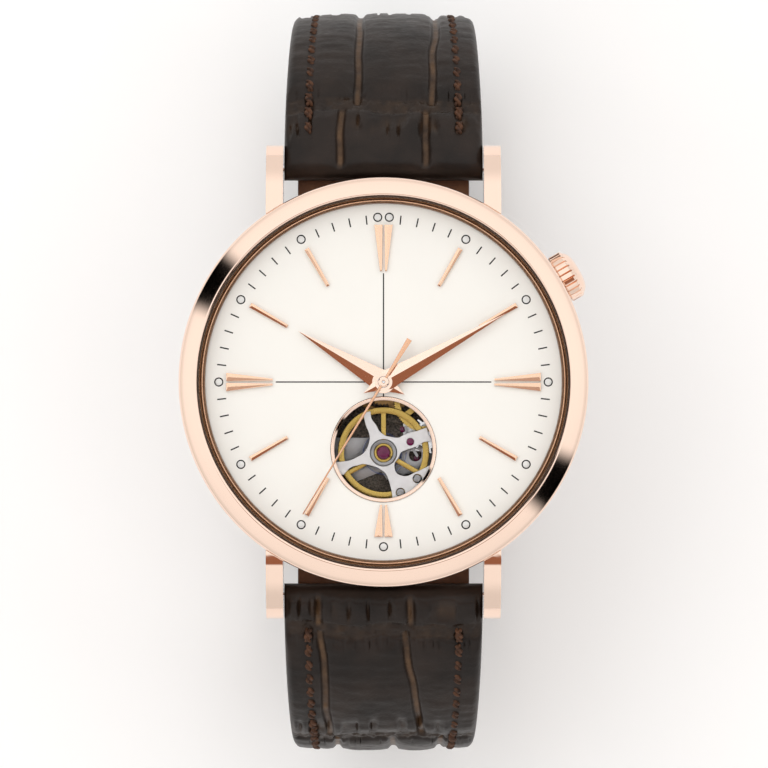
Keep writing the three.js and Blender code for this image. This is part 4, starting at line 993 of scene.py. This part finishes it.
class Route:
    """A line in the Y-Z plane, with a point and an outward normal at each distance along it."""

    def __init__(self, points):
        self.points = np.array(points, float)
        steps = np.linalg.norm(np.diff(self.points, axis=0), axis=1)
        self.at = np.concatenate([[0], np.cumsum(steps)])
        self.length = self.at[-1]

    def place(self, distance):
        d = np.asarray(distance, float)
        inside = np.clip(d, 0, self.length)
        y = np.interp(inside, self.at, self.points[:, 0])
        z = np.interp(inside, self.at, self.points[:, 1])
        reach = 0.05
        a, b = np.clip(inside - reach, 0, self.length), np.clip(inside + reach, 0, self.length)
        ty = np.interp(b, self.at, self.points[:, 0]) - np.interp(a, self.at, self.points[:, 0])
        tz = np.interp(b, self.at, self.points[:, 1]) - np.interp(a, self.at, self.points[:, 1])
        size = np.hypot(ty, tz)
        ty, tz = ty / size, tz / size
        over = d - inside
        return y + ty * over, z + tz * over, -tz, ty


def ellipse(centre_y, centre_z, width, height, start, end, steps=400):
    angles = np.linspace(start, end, steps)
    return [(centre_y + width * cos(a), centre_z + height * sin(a)) for a in angles]


STRAP_MIDDLE_Z = -15.5


def strap_route():
    """The closed strap's middle line from the spring bar down to the buckle, on one side."""
    width, height = 37, 22.3
    return (ellipse(0, STRAP_MIDDLE_Z, width, height, acos(BAR[1] / width), 0)
            + ellipse(18, STRAP_MIDDLE_Z, 19, 22, 0, -pi / 2)[1:])


def short_route():
    return Route(strap_route() + [(BUCKLE_BAR[1], BUCKLE_BAR[2])])


def long_route():
    """Under the buckle's front bar and then outside the other half, to its tip."""
    lap = -39.9
    t = np.linspace(0, 1, 60)[1:]
    start, c1, c2, end = (np.array(p) for p in ((9, -37.5), (5.5, -37.5), (3.5, lap), (0, lap)))
    bend = [tuple((1 - s) ** 3 * start + 3 * s * (1 - s) ** 2 * c1 + 3 * s * s * (1 - s) * c2 + s ** 3 * end)
            for s in t]
    tip = ellipse(-18, STRAP_MIDDLE_Z, 21.4, 24.4, -pi / 2, -pi / 2 - radians(62))
    return Route(strap_route() + [(9, -37.5)] + bend + [(-18, lap)] + tip[1:])


def smoothstep(value):
    t = np.clip(value, 0, 1)
    return t * t * (3 - 2 * t)


def noise2(x, y, seed):
    """Smooth value noise from -1 to 1 over a grid of unit cells, the same on every run."""
    lattice = np.random.default_rng(seed).uniform(-1, 1, (256, 256))
    xi, yi = np.floor(x).astype(int), np.floor(y).astype(int)
    fx, fy = smoothstep(x - xi), smoothstep(y - yi)
    a, b = lattice[xi % 256, yi % 256], lattice[(xi + 1) % 256, yi % 256]
    c, d = lattice[xi % 256, (yi + 1) % 256], lattice[(xi + 1) % 256, (yi + 1) % 256]
    return (a * (1 - fx) + b * fx) * (1 - fy) + (c * (1 - fx) + d * fx) * fy


def layered(x, y, seed, octaves=3):
    total = np.zeros_like(x, float)
    for k in range(octaves):
        total += noise2(x * 2 ** k, y * 2 ** k, seed + k) / 2 ** k
    return total


LEATHER = {"blend": 35, "width": (20, 18), "outer": (1.9, 0.9), "split": (-1.37, 0.0), "inner": (-2.25, -1.0)}


def leather_at(distance, key):
    """A measure of the leather, which narrows and thins from the lug to the buckle."""
    start, end = LEATHER[key]
    return start + (end - start) * smoothstep(np.asarray(distance, float) / LEATHER["blend"])


# Creases across the strap, as distances from its spring bar, and the long grooves of each row of
# scales between two creases, as x where the row starts and ends.
CREASES = {
    "12": [6.2, 27.0, 38.0, 46.0, 59.0, 72.0],
    "6": [2.9, 18.6, 31.0, 43.5, 56.0, 68.5, 81.0, 94.0, 106.0],
}
GROOVES = {
    "12": [[(-4.8, -4.2), (3.9, 4.35)], [(-2.8, -2.1), (4.8, 5.5)], [(-5.0, -4.6), (1.2, 1.8)],
           [(-2.2, -1.7), (4.6, 5.1)]],
    "6": [[(-6.7, -6.5), (2.2, 2.7)], [(-6.3, -5.5), (2.3, 3.8)], [(-4.8, -4.2), (0.8, 1.4), (5.8, 5.3)],
          [(-5.6, -5.0), (3.1, 3.9)]],
}


def croc_relief(x, s, strap):
    """Height in millimetres and groove share of the pressed crocodile pattern."""
    creases = [-6.0, *CREASES[strap], 200.0]
    seed = SEED + (0 if strap == "12" else 40)
    height = np.zeros_like(x)
    groove = np.zeros_like(x)
    near = np.full_like(x, 9.0)
    wander = 0.42 * layered(x * 0.28 + 5, s * 0.05, seed, 2)
    for k, crease in enumerate(creases[1:-1]):
        away = s - crease - wander - 0.4 * noise2(x * 0.16, x * 0 + k, seed + 9)
        gap = np.abs(away)
        near = np.minimum(near, np.maximum(gap - 0.75, 0))
        # a rough, sunken band, with a dark line where the next row of scales starts
        band = smoothstep((0.95 - gap) / 0.3)
        height -= 0.2 * band
        height += 0.12 * band * layered(x * 2.0, s * 2.2 + 11 * k, seed + 5, 2)
        height -= 0.1 * np.exp(-((away - 0.85) / 0.18) ** 2)
        groove = np.maximum(groove, 0.22 * band * (0.6 + 0.4 * noise2(x * 1.8, s * 1.8, seed + 6)))
        # short cuts above the band, and tall lens-shaped puckers below it
        cuts = np.clip(0.34 - np.abs(noise2(x * 1.9, x * 0 + 3.5 * k + 0.5, seed + 3)), 0, 1) / 0.34
        height -= 0.18 * cuts * np.exp(-((away - 1.4) / 0.7) ** 2)
        lenses = np.clip(0.4 - np.abs(noise2(x * 1.0 + 40, s * 0.12 + k, seed + 4)), 0, 1) / 0.4
        height -= 0.5 * lenses * np.exp(-((away + 2.3) / 1.2) ** 2)
        groove = np.maximum(groove, 0.3 * lenses ** 2 * np.exp(-((away + 2.3) / 0.9) ** 2))
        height += 0.1 * np.exp(-((away + 1.9) / 1.1) ** 2)
    rows = GROOVES[strap]
    for k in range(len(creases) - 1):
        low, high = creases[k], creases[k + 1]
        inside = smoothstep((s - low - 0.05) / 0.5) * smoothstep((high - s - 0.05) / 0.5)
        share = np.clip((s - low) / (high - low), 0, 1)
        for g, (start, end) in enumerate(rows[k % len(rows)]):
            line_x = start + (end - start) * share + 0.2 * noise2(s * 0.3, s * 0 + k * 3 + g, seed + 21)
            gap = np.abs(x - line_x)
            near = np.minimum(near, gap + 5 * (1 - inside))
            line = np.exp(-(gap / 0.42) ** 4) * inside
            height -= 0.34 * line
            worn = 0.8 + 0.2 * noise2(x * 2, s, seed)
            groove = np.maximum(groove, np.exp(-(gap / 0.27) ** 4) * inside * worn)
    height += 0.22 * (1 - np.exp(-(near / 1.1) ** 2))
    height += 0.035 * layered(x * 0.35, s * 1.3, seed + 60, 3)
    # fine lengthwise pores that the pressing leaves
    height += 0.012 * noise2(x * 3.1, s * 1.2, seed + 80)
    return height, groove


def on_route(route, stations, side, xs, offsets):
    """Points across the strap at each station, set off from the route along its normal."""
    y, z, ny, nz = (values[:, None] for values in route.place(stations))
    return np.stack([side * xs, side * (y + ny * offsets), z + nz * offsets], -1).reshape(-1, 3)


def round_end(half, stations, end, tip):
    """Half widths that close in a round tongue over the last stretch."""
    back = np.clip((stations - (end - tip)) / tip, 0, 1)
    return half * np.sqrt(np.clip(1 - back ** 2, 0.0025, 1))


def quarter_round(from_edge, radius):
    """How far an edge has rolled over at a distance from it."""
    return radius * (1 - np.sqrt(np.clip(1 - np.clip(1 - from_edge / radius, 0, 1) ** 2, 0, 1)))


STITCH = {"inset": 2.35, "pitch": 1.72, "first": 2.9}


def strap_outer(name, node, route, side, strap, end, tip=0.0):
    """One half of the strap's outer leather: a crowned, pressed top, round edges and a flat back."""
    across, along = 180, int(end * 6)
    stations = np.linspace(-1.3, end, along)
    u = np.linspace(-1, 1, across)
    half = leather_at(np.maximum(stations, 0), "width") / 2
    outer = leather_at(np.maximum(stations, 0), "outer")
    split = leather_at(np.maximum(stations, 0), "split")
    # the nose closes over the spring bar with a round end
    nose = np.sqrt(np.clip(1 - (np.minimum(stations, 0) / -1.36) ** 2, 0.02, 1))
    middle = 0.265 * (stations < 0) + (outer + split) / 2 * (stations >= 0)
    outer, split = middle + (outer - middle) * nose, middle + (split - middle) * nose
    if tip:
        half = round_end(half, stations, end, tip)
    x = u[None, :] * half[:, None]
    s = np.repeat(stations[:, None], across, 1)
    relief, groove = croc_relief(side * x, s, strap)
    fade = smoothstep((1 - np.abs(u)) / 0.07)[None, :] * smoothstep((stations + 1.0) / 1.2)[:, None]
    crown_drop = 0.5 * np.abs(u[None, :]) ** 3.2 * smoothstep((outer - 0.2)[:, None] / 1.2)
    inset = np.abs(np.abs(x) - (half[:, None] - STITCH["inset"]))
    channel = 0.14 * np.exp(-(inset / 0.5) ** 2) * smoothstep((s - 0.2) / 1.0)
    roll = quarter_round(half[:, None] - np.abs(x), 0.42)
    top = outer[:, None] - 0.22 - crown_drop - roll - channel + relief * fade
    top = np.maximum(top, split[:, None] + 0.25)
    under_u = np.linspace(1, -1, 24)
    under_x = under_u[None, :] * half[:, None]
    under = np.repeat(split[:, None], 24, 1)
    offsets = np.concatenate([top, under], 1)
    xs = np.concatenate([x, under_x], 1)
    piece = make(name, on_route(route, stations, side, xs, offsets), skin(along, across + 24), node, sharp=60)
    shares = np.concatenate([groove * fade, np.zeros((along, 24))], 1).astype(np.float32).ravel()
    attribute = piece.data.attributes.new("groove", "FLOAT", "POINT")
    attribute.data.foreach_set("value", shares)
    return piece


def strap_lining(name, node, route, side, end, tip=0.0):
    """The lining: thinner, narrower, and slightly uneven where it has shaped itself."""
    across, along = 60, int(end * 3)
    stations = np.linspace(0.02, end, along)
    u = np.linspace(-1, 1, across)
    half = leather_at(stations, "width") / 2 - 0.4
    if tip:
        half = round_end(half, stations, end, tip)
    high = leather_at(stations, "split") - 0.05
    low = leather_at(stations, "inner")
    x = u[None, :] * half[:, None]
    s = np.repeat(stations[:, None], across, 1)
    uneven = 0.03 * layered(x * 0.6, s * 0.3, SEED + 200, 3)
    roll = quarter_round(half[:, None] - np.abs(x), 0.3) * (0.2 / 0.3)
    lower = low[:, None] + 0.05 + roll + uneven
    upper = np.repeat(high[:, None], 16, 1)
    xs = np.concatenate([x, np.linspace(1, -1, 16)[None, :] * half[:, None]], 1)
    offsets = np.concatenate([lower, upper], 1)
    points = on_route(route, stations, side, xs, offsets)
    return make(name, points, skin(along, across + 16, BACKWARD), node, sharp=60)


def lining_lip(name, node, side):
    """The flat lip of the lining that shows between the strap and the case."""
    near, far = 18.98, 21.4
    arc_points = [(x, sqrt(near ** 2 - x ** 2)) for x in np.linspace(-8.65, 8.65, 40)]
    outline = arc_points + [(8.65, far), (-8.65, far)]
    outline = [(x, side * y) for x, y in outline]
    if side < 0:
        outline = outline[::-1]
    return plate(name, outline[::-1], 0.16, 0.97, node, bevel=0.12, replaces=False)


def stitches(name, node, route, side, first, last, outer_drop):
    """Slanted twisted stitches along both edges, each a two-ply thread that dips at its ends."""
    length, around, rings = 1.62, 10, 15
    points, faces = [], []
    count = int((last - first) / STITCH["pitch"])
    for edge in (1, -1):
        for i in range(count):
            middle = first + (i + 0.5) * STITCH["pitch"]
            half = float(leather_at(middle, "width")) / 2
            centre_x = edge * (half - STITCH["inset"])
            for ply in (0, 1):
                start = len(points)
                for r in range(rings):
                    t = r / (rings - 1) * 2 - 1
                    dip = 0.3 * abs(t) ** 3
                    twist = pi * 2.2 * t / 2 + ply * pi
                    s = middle + t * length / 2
                    y, z, ny, nz = (float(v) for v in route.place(s))
                    ty, tz = nz, -ny
                    thick = 0.25 * sqrt(max(0.08, 1 - t ** 4))
                    cx = centre_x + edge * 0.06 * t + 0.19 * cos(twist)
                    lift = float(leather_at(s, "outer")) - 0.22 - outer_drop + 0.02 - dip + 0.1 * sin(twist)
                    for k in range(around):
                        angle = 2 * pi * k / around
                        px = cx + thick * cos(angle)
                        out = lift + thick * sin(angle)
                        points.append((side * px, side * (y + ny * out), z + nz * out))
                faces += skin(rings, around, INWARD, start)
    piece = make(name, points, faces, node, material="thread", replaces=False, sharp=80)
    weld(piece)
    return piece


def strap():
    short, long = short_route(), long_route()
    strap_outer("strap_12_leather", "strap_12_outer", short, 1, "12", short.length - 1.4)
    leather = strap_outer("strap_6_leather", "strap_6_outer", long, -1, "6", long.length, tip=9.2)
    # the tongue's slot through both leathers, with room for the tongue at its largest angle
    slot_side = [(1.9, -42.5), (1.9, -34.5), (-5.4, -34.5), (-5.4, -42.5)]
    boolean(leather, loose("slot", *prism_x(slot_side, -1.5, 1.5)), "DIFFERENCE")
    roll = circle(1.18, (BUCKLE_BAR[1], BUCKLE_BAR[2]), 48)
    for side, near, far in (("right", 1.15, 8.95), ("left", -8.95, -1.15)):
        make(f"bar_roll_{side}", *prism_x(roll, near, far), "strap_12_outer", replaces=False)
    strap_lining("strap_12_inside", "strap_12_lining", short, 1, short.length - 3)
    lining = strap_lining("strap_6_inside", "strap_6_lining", long, -1, long.length - 0.4, tip=9.2)
    boolean(lining, loose("slot", *prism_x(slot_side, -1.5, 1.5)), "DIFFERENCE")
    lining_lip("lining_lip_12", "strap_12_lining", 1)
    lining_lip("lining_lip_6", "strap_6_lining", -1)
    stitches("stitches_12", "strap_12_outer", short, 1, STITCH["first"], short.length - 5, 0.22)
    stitches("stitches_6", "strap_6_outer", long, -1, STITCH["first"], long.length - 8, 0.22)


# ---------------------------------------------------------------- keepers, bars and buckle

def rounded_box(x0, x1, z0, z1, radius, steps=8):
    corners = [(x1 - radius, z1 - radius, 0), (x0 + radius, z1 - radius, 90),
               (x0 + radius, z0 + radius, 180), (x1 - radius, z0 + radius, 270)]
    return [point for x, z, start in corners
            for point in arc(x, z, radius, radians(start), radians(start + 90), steps)]


def keeper(name, node):
    """A leather loop with round corners and softened edges."""
    low, high = box_mm(node)
    wall = 0.76
    y_middle, y_half = (low[1] + high[1]) / 2, (high[1] - low[1]) / 2
    profile = []
    for angle in np.linspace(0, 2 * pi, 28, endpoint=False):
        # a superellipse section: how far out the wall is, and where along the strap
        out = np.sign(cos(angle)) * abs(cos(angle)) ** 0.5
        along = np.sign(sin(angle)) * abs(sin(angle)) ** 0.32
        profile.append(((1 + out) / 2 * wall, y_half * along))
    points = []
    inner = rounded_box(low[0] + wall, high[0] - wall, low[2] + wall, high[2] - wall, 0.9, 10)
    outer = rounded_box(low[0], high[0], low[2], high[2], 1.4, 10)
    for (xi, zi), (xo, zo) in zip(inner, outer):
        for out, along in profile:
            share = out / wall
            points.append((xi + (xo - xi) * share, y_middle + along, zi + (zo - zi) * share))
    piece = make(name, points, skin(len(inner), len(profile), closed=True), node, sharp=60)
    weld(piece)
    smooth = piece.modifiers.new("smooth", "SUBSURF")
    smooth.levels = smooth.render_levels = 1


def rod(name, node, sections, segments=48, **more):
    """A bar along X through a CAD node's middle, from [x, radius] on its right half."""
    _, y, z = middle_mm(node)
    stations = [(-x, r) for x, r in sections[::-1]] + list(sections)
    points = [(x, y + r * cos(2 * pi * k / segments), z + r * sin(2 * pi * k / segments))
              for x, r in stations for k in range(segments)]
    piece = make(name, points, skin(len(stations), segments), node, **more)
    weld(piece)


def buckle():
    inside, outside = 9.48, 11.18
    near, far, top = -7.8, -10.2, -39.5
    bar_y, bar_z = BUCKLE_BAR[1], BUCKLE_BAR[2]
    arm = arc(bar_y, bar_z, 1.3, radians(-80), radians(80), 16)
    arm += [(far + 0.7, top), (far + 0.2, top - 0.25), (far, top - 0.8), (far, REST_Z + 0.8),
            (far + 0.25, REST_Z + 0.25), (far + 0.8, REST_Z), (near, REST_Z)]
    bar = [(near, REST_Z), (near, top - 0.6), (near - 0.15, top - 0.15), (near - 0.5, top), (far + 0.7, top),
           (far + 0.2, top - 0.25), (far, top - 0.8), (far, REST_Z + 0.8), (far + 0.25, REST_Z + 0.25),
           (far + 0.8, REST_Z)]
    frame_body = loose("frame", *prism_x(bar, -inside - 0.4, inside + 0.4))
    for x0, x1 in ((-outside, -inside), (inside, outside)):
        boolean(frame_body, loose("arm", *prism_x(arm, x0, x1)), "UNION")
    boolean(frame_body, loose("pin", *prism_x(circle(0.65, (bar_y, bar_z), 48), -12, 12)), "DIFFERENCE")
    rest = rounded_box(-11.0, -7.0, REST_Z - 0.5, REST_Z + 1.0, 0.05, 3)
    boolean(frame_body, loose("rest", *prism_x(rest, -1.0, 1.0)), "DIFFERENCE")
    frame_body.name = "buckle_frame_body"
    soften(frame_body, 0.22)
    settle(frame_body, "buckle_frame")

    side = smooth_line([(1.6, -38.3), (0.6, -37.78), (-2.6, -38.95), (-6.6, -40.5), (-7.6, -40.93),
                        (-10.2, -40.97)], 5)
    side += smooth_line([(-10.38, -41.28), (-10.1, -41.62), (-6.95, -41.62), (-5.2, -40.9), (1.2, -38.75)], 5)
    tongue = loose("tongue", *prism_x(side, -0.78, 0.78))
    boolean(tongue, loose("eye", *prism_x(circle(1.03, (bar_y, bar_z), 48), -0.78, 0.78)), "UNION")
    boolean(tongue, loose("pin", *prism_x(circle(0.66, (bar_y, bar_z), 48), -2, 2)), "DIFFERENCE")
    tongue.name = "buckle_tongue_body"
    soften(tongue, 0.12)
    settle(tongue, "buckle_tongue")


def hardware():
    keeper("keeper_fixed_loop", "fixed_keeper")
    keeper("keeper_free_loop", "free_keeper")
    for half in ("12", "6"):
        rod(f"spring_bar_{half}_rod", f"spring_bar_{half}", [
            (9.3, 0.7), (9.4, 0.62), (9.6, 0.62), (9.7, 0.7), (9.88, 0.68), (9.9, 0.4), (10.8, 0.4),
            (10.9, 0.3)])
    rod("buckle_bar_rod", "buckle_bar", [(10.9, 0.6), (11.05, 0.52), (11.1, 0.3)])
    buckle()


# ---------------------------------------------------------------- back and winding

def striped_steel():
    """Steel with broad, shallow stripes across it, as a finished rotor or bridge has."""
    made = Surface("striped_steel", (0.6, 0.6, 0.61), 0.26, metallic=1)
    tinted(made, (0.6, 0.6, 0.61), 0.1, 400)
    wave = made.node("ShaderNodeTexWave", Scale=180, Distortion=0.0)
    made.link(made.place(), wave.inputs["Vector"])
    made.bump(wave.outputs["Fac"], 0.18, 0.00006)
    grain = made.noise(1500, 4, (1, 12, 1))
    made.roughness(grain, 0.2, 0.36)
    return made.material


def case_back():
    ring = loose("back", *lathe_mesh([
        [12.55, 0.05], [17.2, 0.05], [17.78, 0.5], [17.78, 1.26], [16.63, 1.26], [16.63, 2.38], [16.02, 2.38],
        [16.02, 1.26], [11.92, 1.26], [11.92, 0.8], [12.55, 0.8]], radius=0.06))
    for i in range(6):
        degrees = 60 * i + 30
        notch = box_at(on_circle(16.9, degrees), (1.8, 1.6), radians(degrees))
        boolean(ring, loose("notch", *prism_z(notch, -0.2, 0.6)), "DIFFERENCE")
    ring.name = "back_ring"
    soften(ring, 0.05, 40, 2)
    settle(ring, "case_back")
    lathe("back_window_glass", disc(12.48, 0.0, 0.7), "case_back_window", radius=0.08)
    lathe("back_seal", disc(17.37, 1.03, 1.25, 17.03), "case_back_gasket", radius=0.02)


def half_ring(outer, inner, steps=128):
    """The half of a ring that lies towards 6 o'clock."""
    outside = arc(0, 0, outer, pi, 2 * pi, steps)
    if inner == 0:
        return outside
    return outside + arc(0, 0, inner, 2 * pi, pi, steps)


def rotor():
    M["striped"] = striped_steel()
    union_plate("rotor_plate", [half_ring(12.28, 0), circle(1.6, steps=64)], 1.41, 1.69, "rotor", bevel=0.03,
                material="striped")
    union_plate("rotor_weight", [half_ring(12.28, 9.92)], 1.69, 2.34, "rotor", bevel=0.08, replaces=False)


def bridges():
    low, high = 2.96, 3.39
    feet = ((-8, -1.5), (7.5, -2.5), (-5.7, 5.7))
    union_plate("automatic_bridge_plate", [circle(3.4), *[link_outline((0, 0), foot, 2.6) for foot in feet]],
                1.96, 2.44, "automatic_bridge", cuts=[circle(0.9, steps=48)], bevel=0.06, material="striped")
    for i, foot in enumerate(feet):
        lathe(f"automatic_post_{i}", disc(0.5, 2.44, 2.92), "automatic_bridge", at=foot, segments=48,
              replaces=False, radius=0.03)
    slot = box_at((10.3 * cos(STEM_ANGLE), 10.3 * sin(STEM_ANGLE)), (1.2, 3.1), STEM_ANGLE)
    union_plate("train_bridge_plate", [circle(12, steps=FINE)], low, high, "train_bridge", cuts=[
        [(-12.05, -12.4), (1.95, -12.4), (1.95, -3.4), (-12.05, -3.4)],
        [(1.95, -16), (13.95, -16), (13.95, -7), (1.95, -7)],
        slot, circle(0.5, (0, 5.8), 48)], bevel=0.06, material="striped")
    union_plate("balance_cock_plate", [circle(1.7, HUB, 64), link_outline(HUB, (-1.4, -11.0), 2.6),
                                       [(-5.1, -5.6), (-5.1, -8.4), (-1.6, -8), (-1.4, -5.6)],
                                       [(-4.3, -8.4), (-3.2, -10.4), (-0.6, -9.2), (0.2, -8.4)]],
                low, high, "balance_cock", cuts=[circle(0.2, HUB, 32)], bevel=0.05)


def softened_wheels():
    """The gears stay as they are, with their edges broken."""
    for node in ("barrel", "center_wheel", "third_wheel", "fourth_wheel", "minute_wheel", "hour_wheel",
                 "escape_wheel", "pallet_fork", "ratchet_wheel", "crown_wheel", "rotor_gear",
                 "reversing_wheel", "click", "setting_lever"):
        soften(NODES[node], 0.012, 30, 1)


# ---------------------------------------------------------------- the whole object

bpy.context.scene.view_settings.view_transform = "Standard"
bpy.context.scene.view_settings.exposure = 0.12
camera_and_floor()
studio_world()
area_light("soft_key", (-0.2, 0.25, 0.6), (0, 0, 0), 0.5, 0.9)
case()
dial_plate()
markers()
hands()
opening()
crown()
strap()
hardware()
case_back()
rotor()
bridges()
softened_wheels()
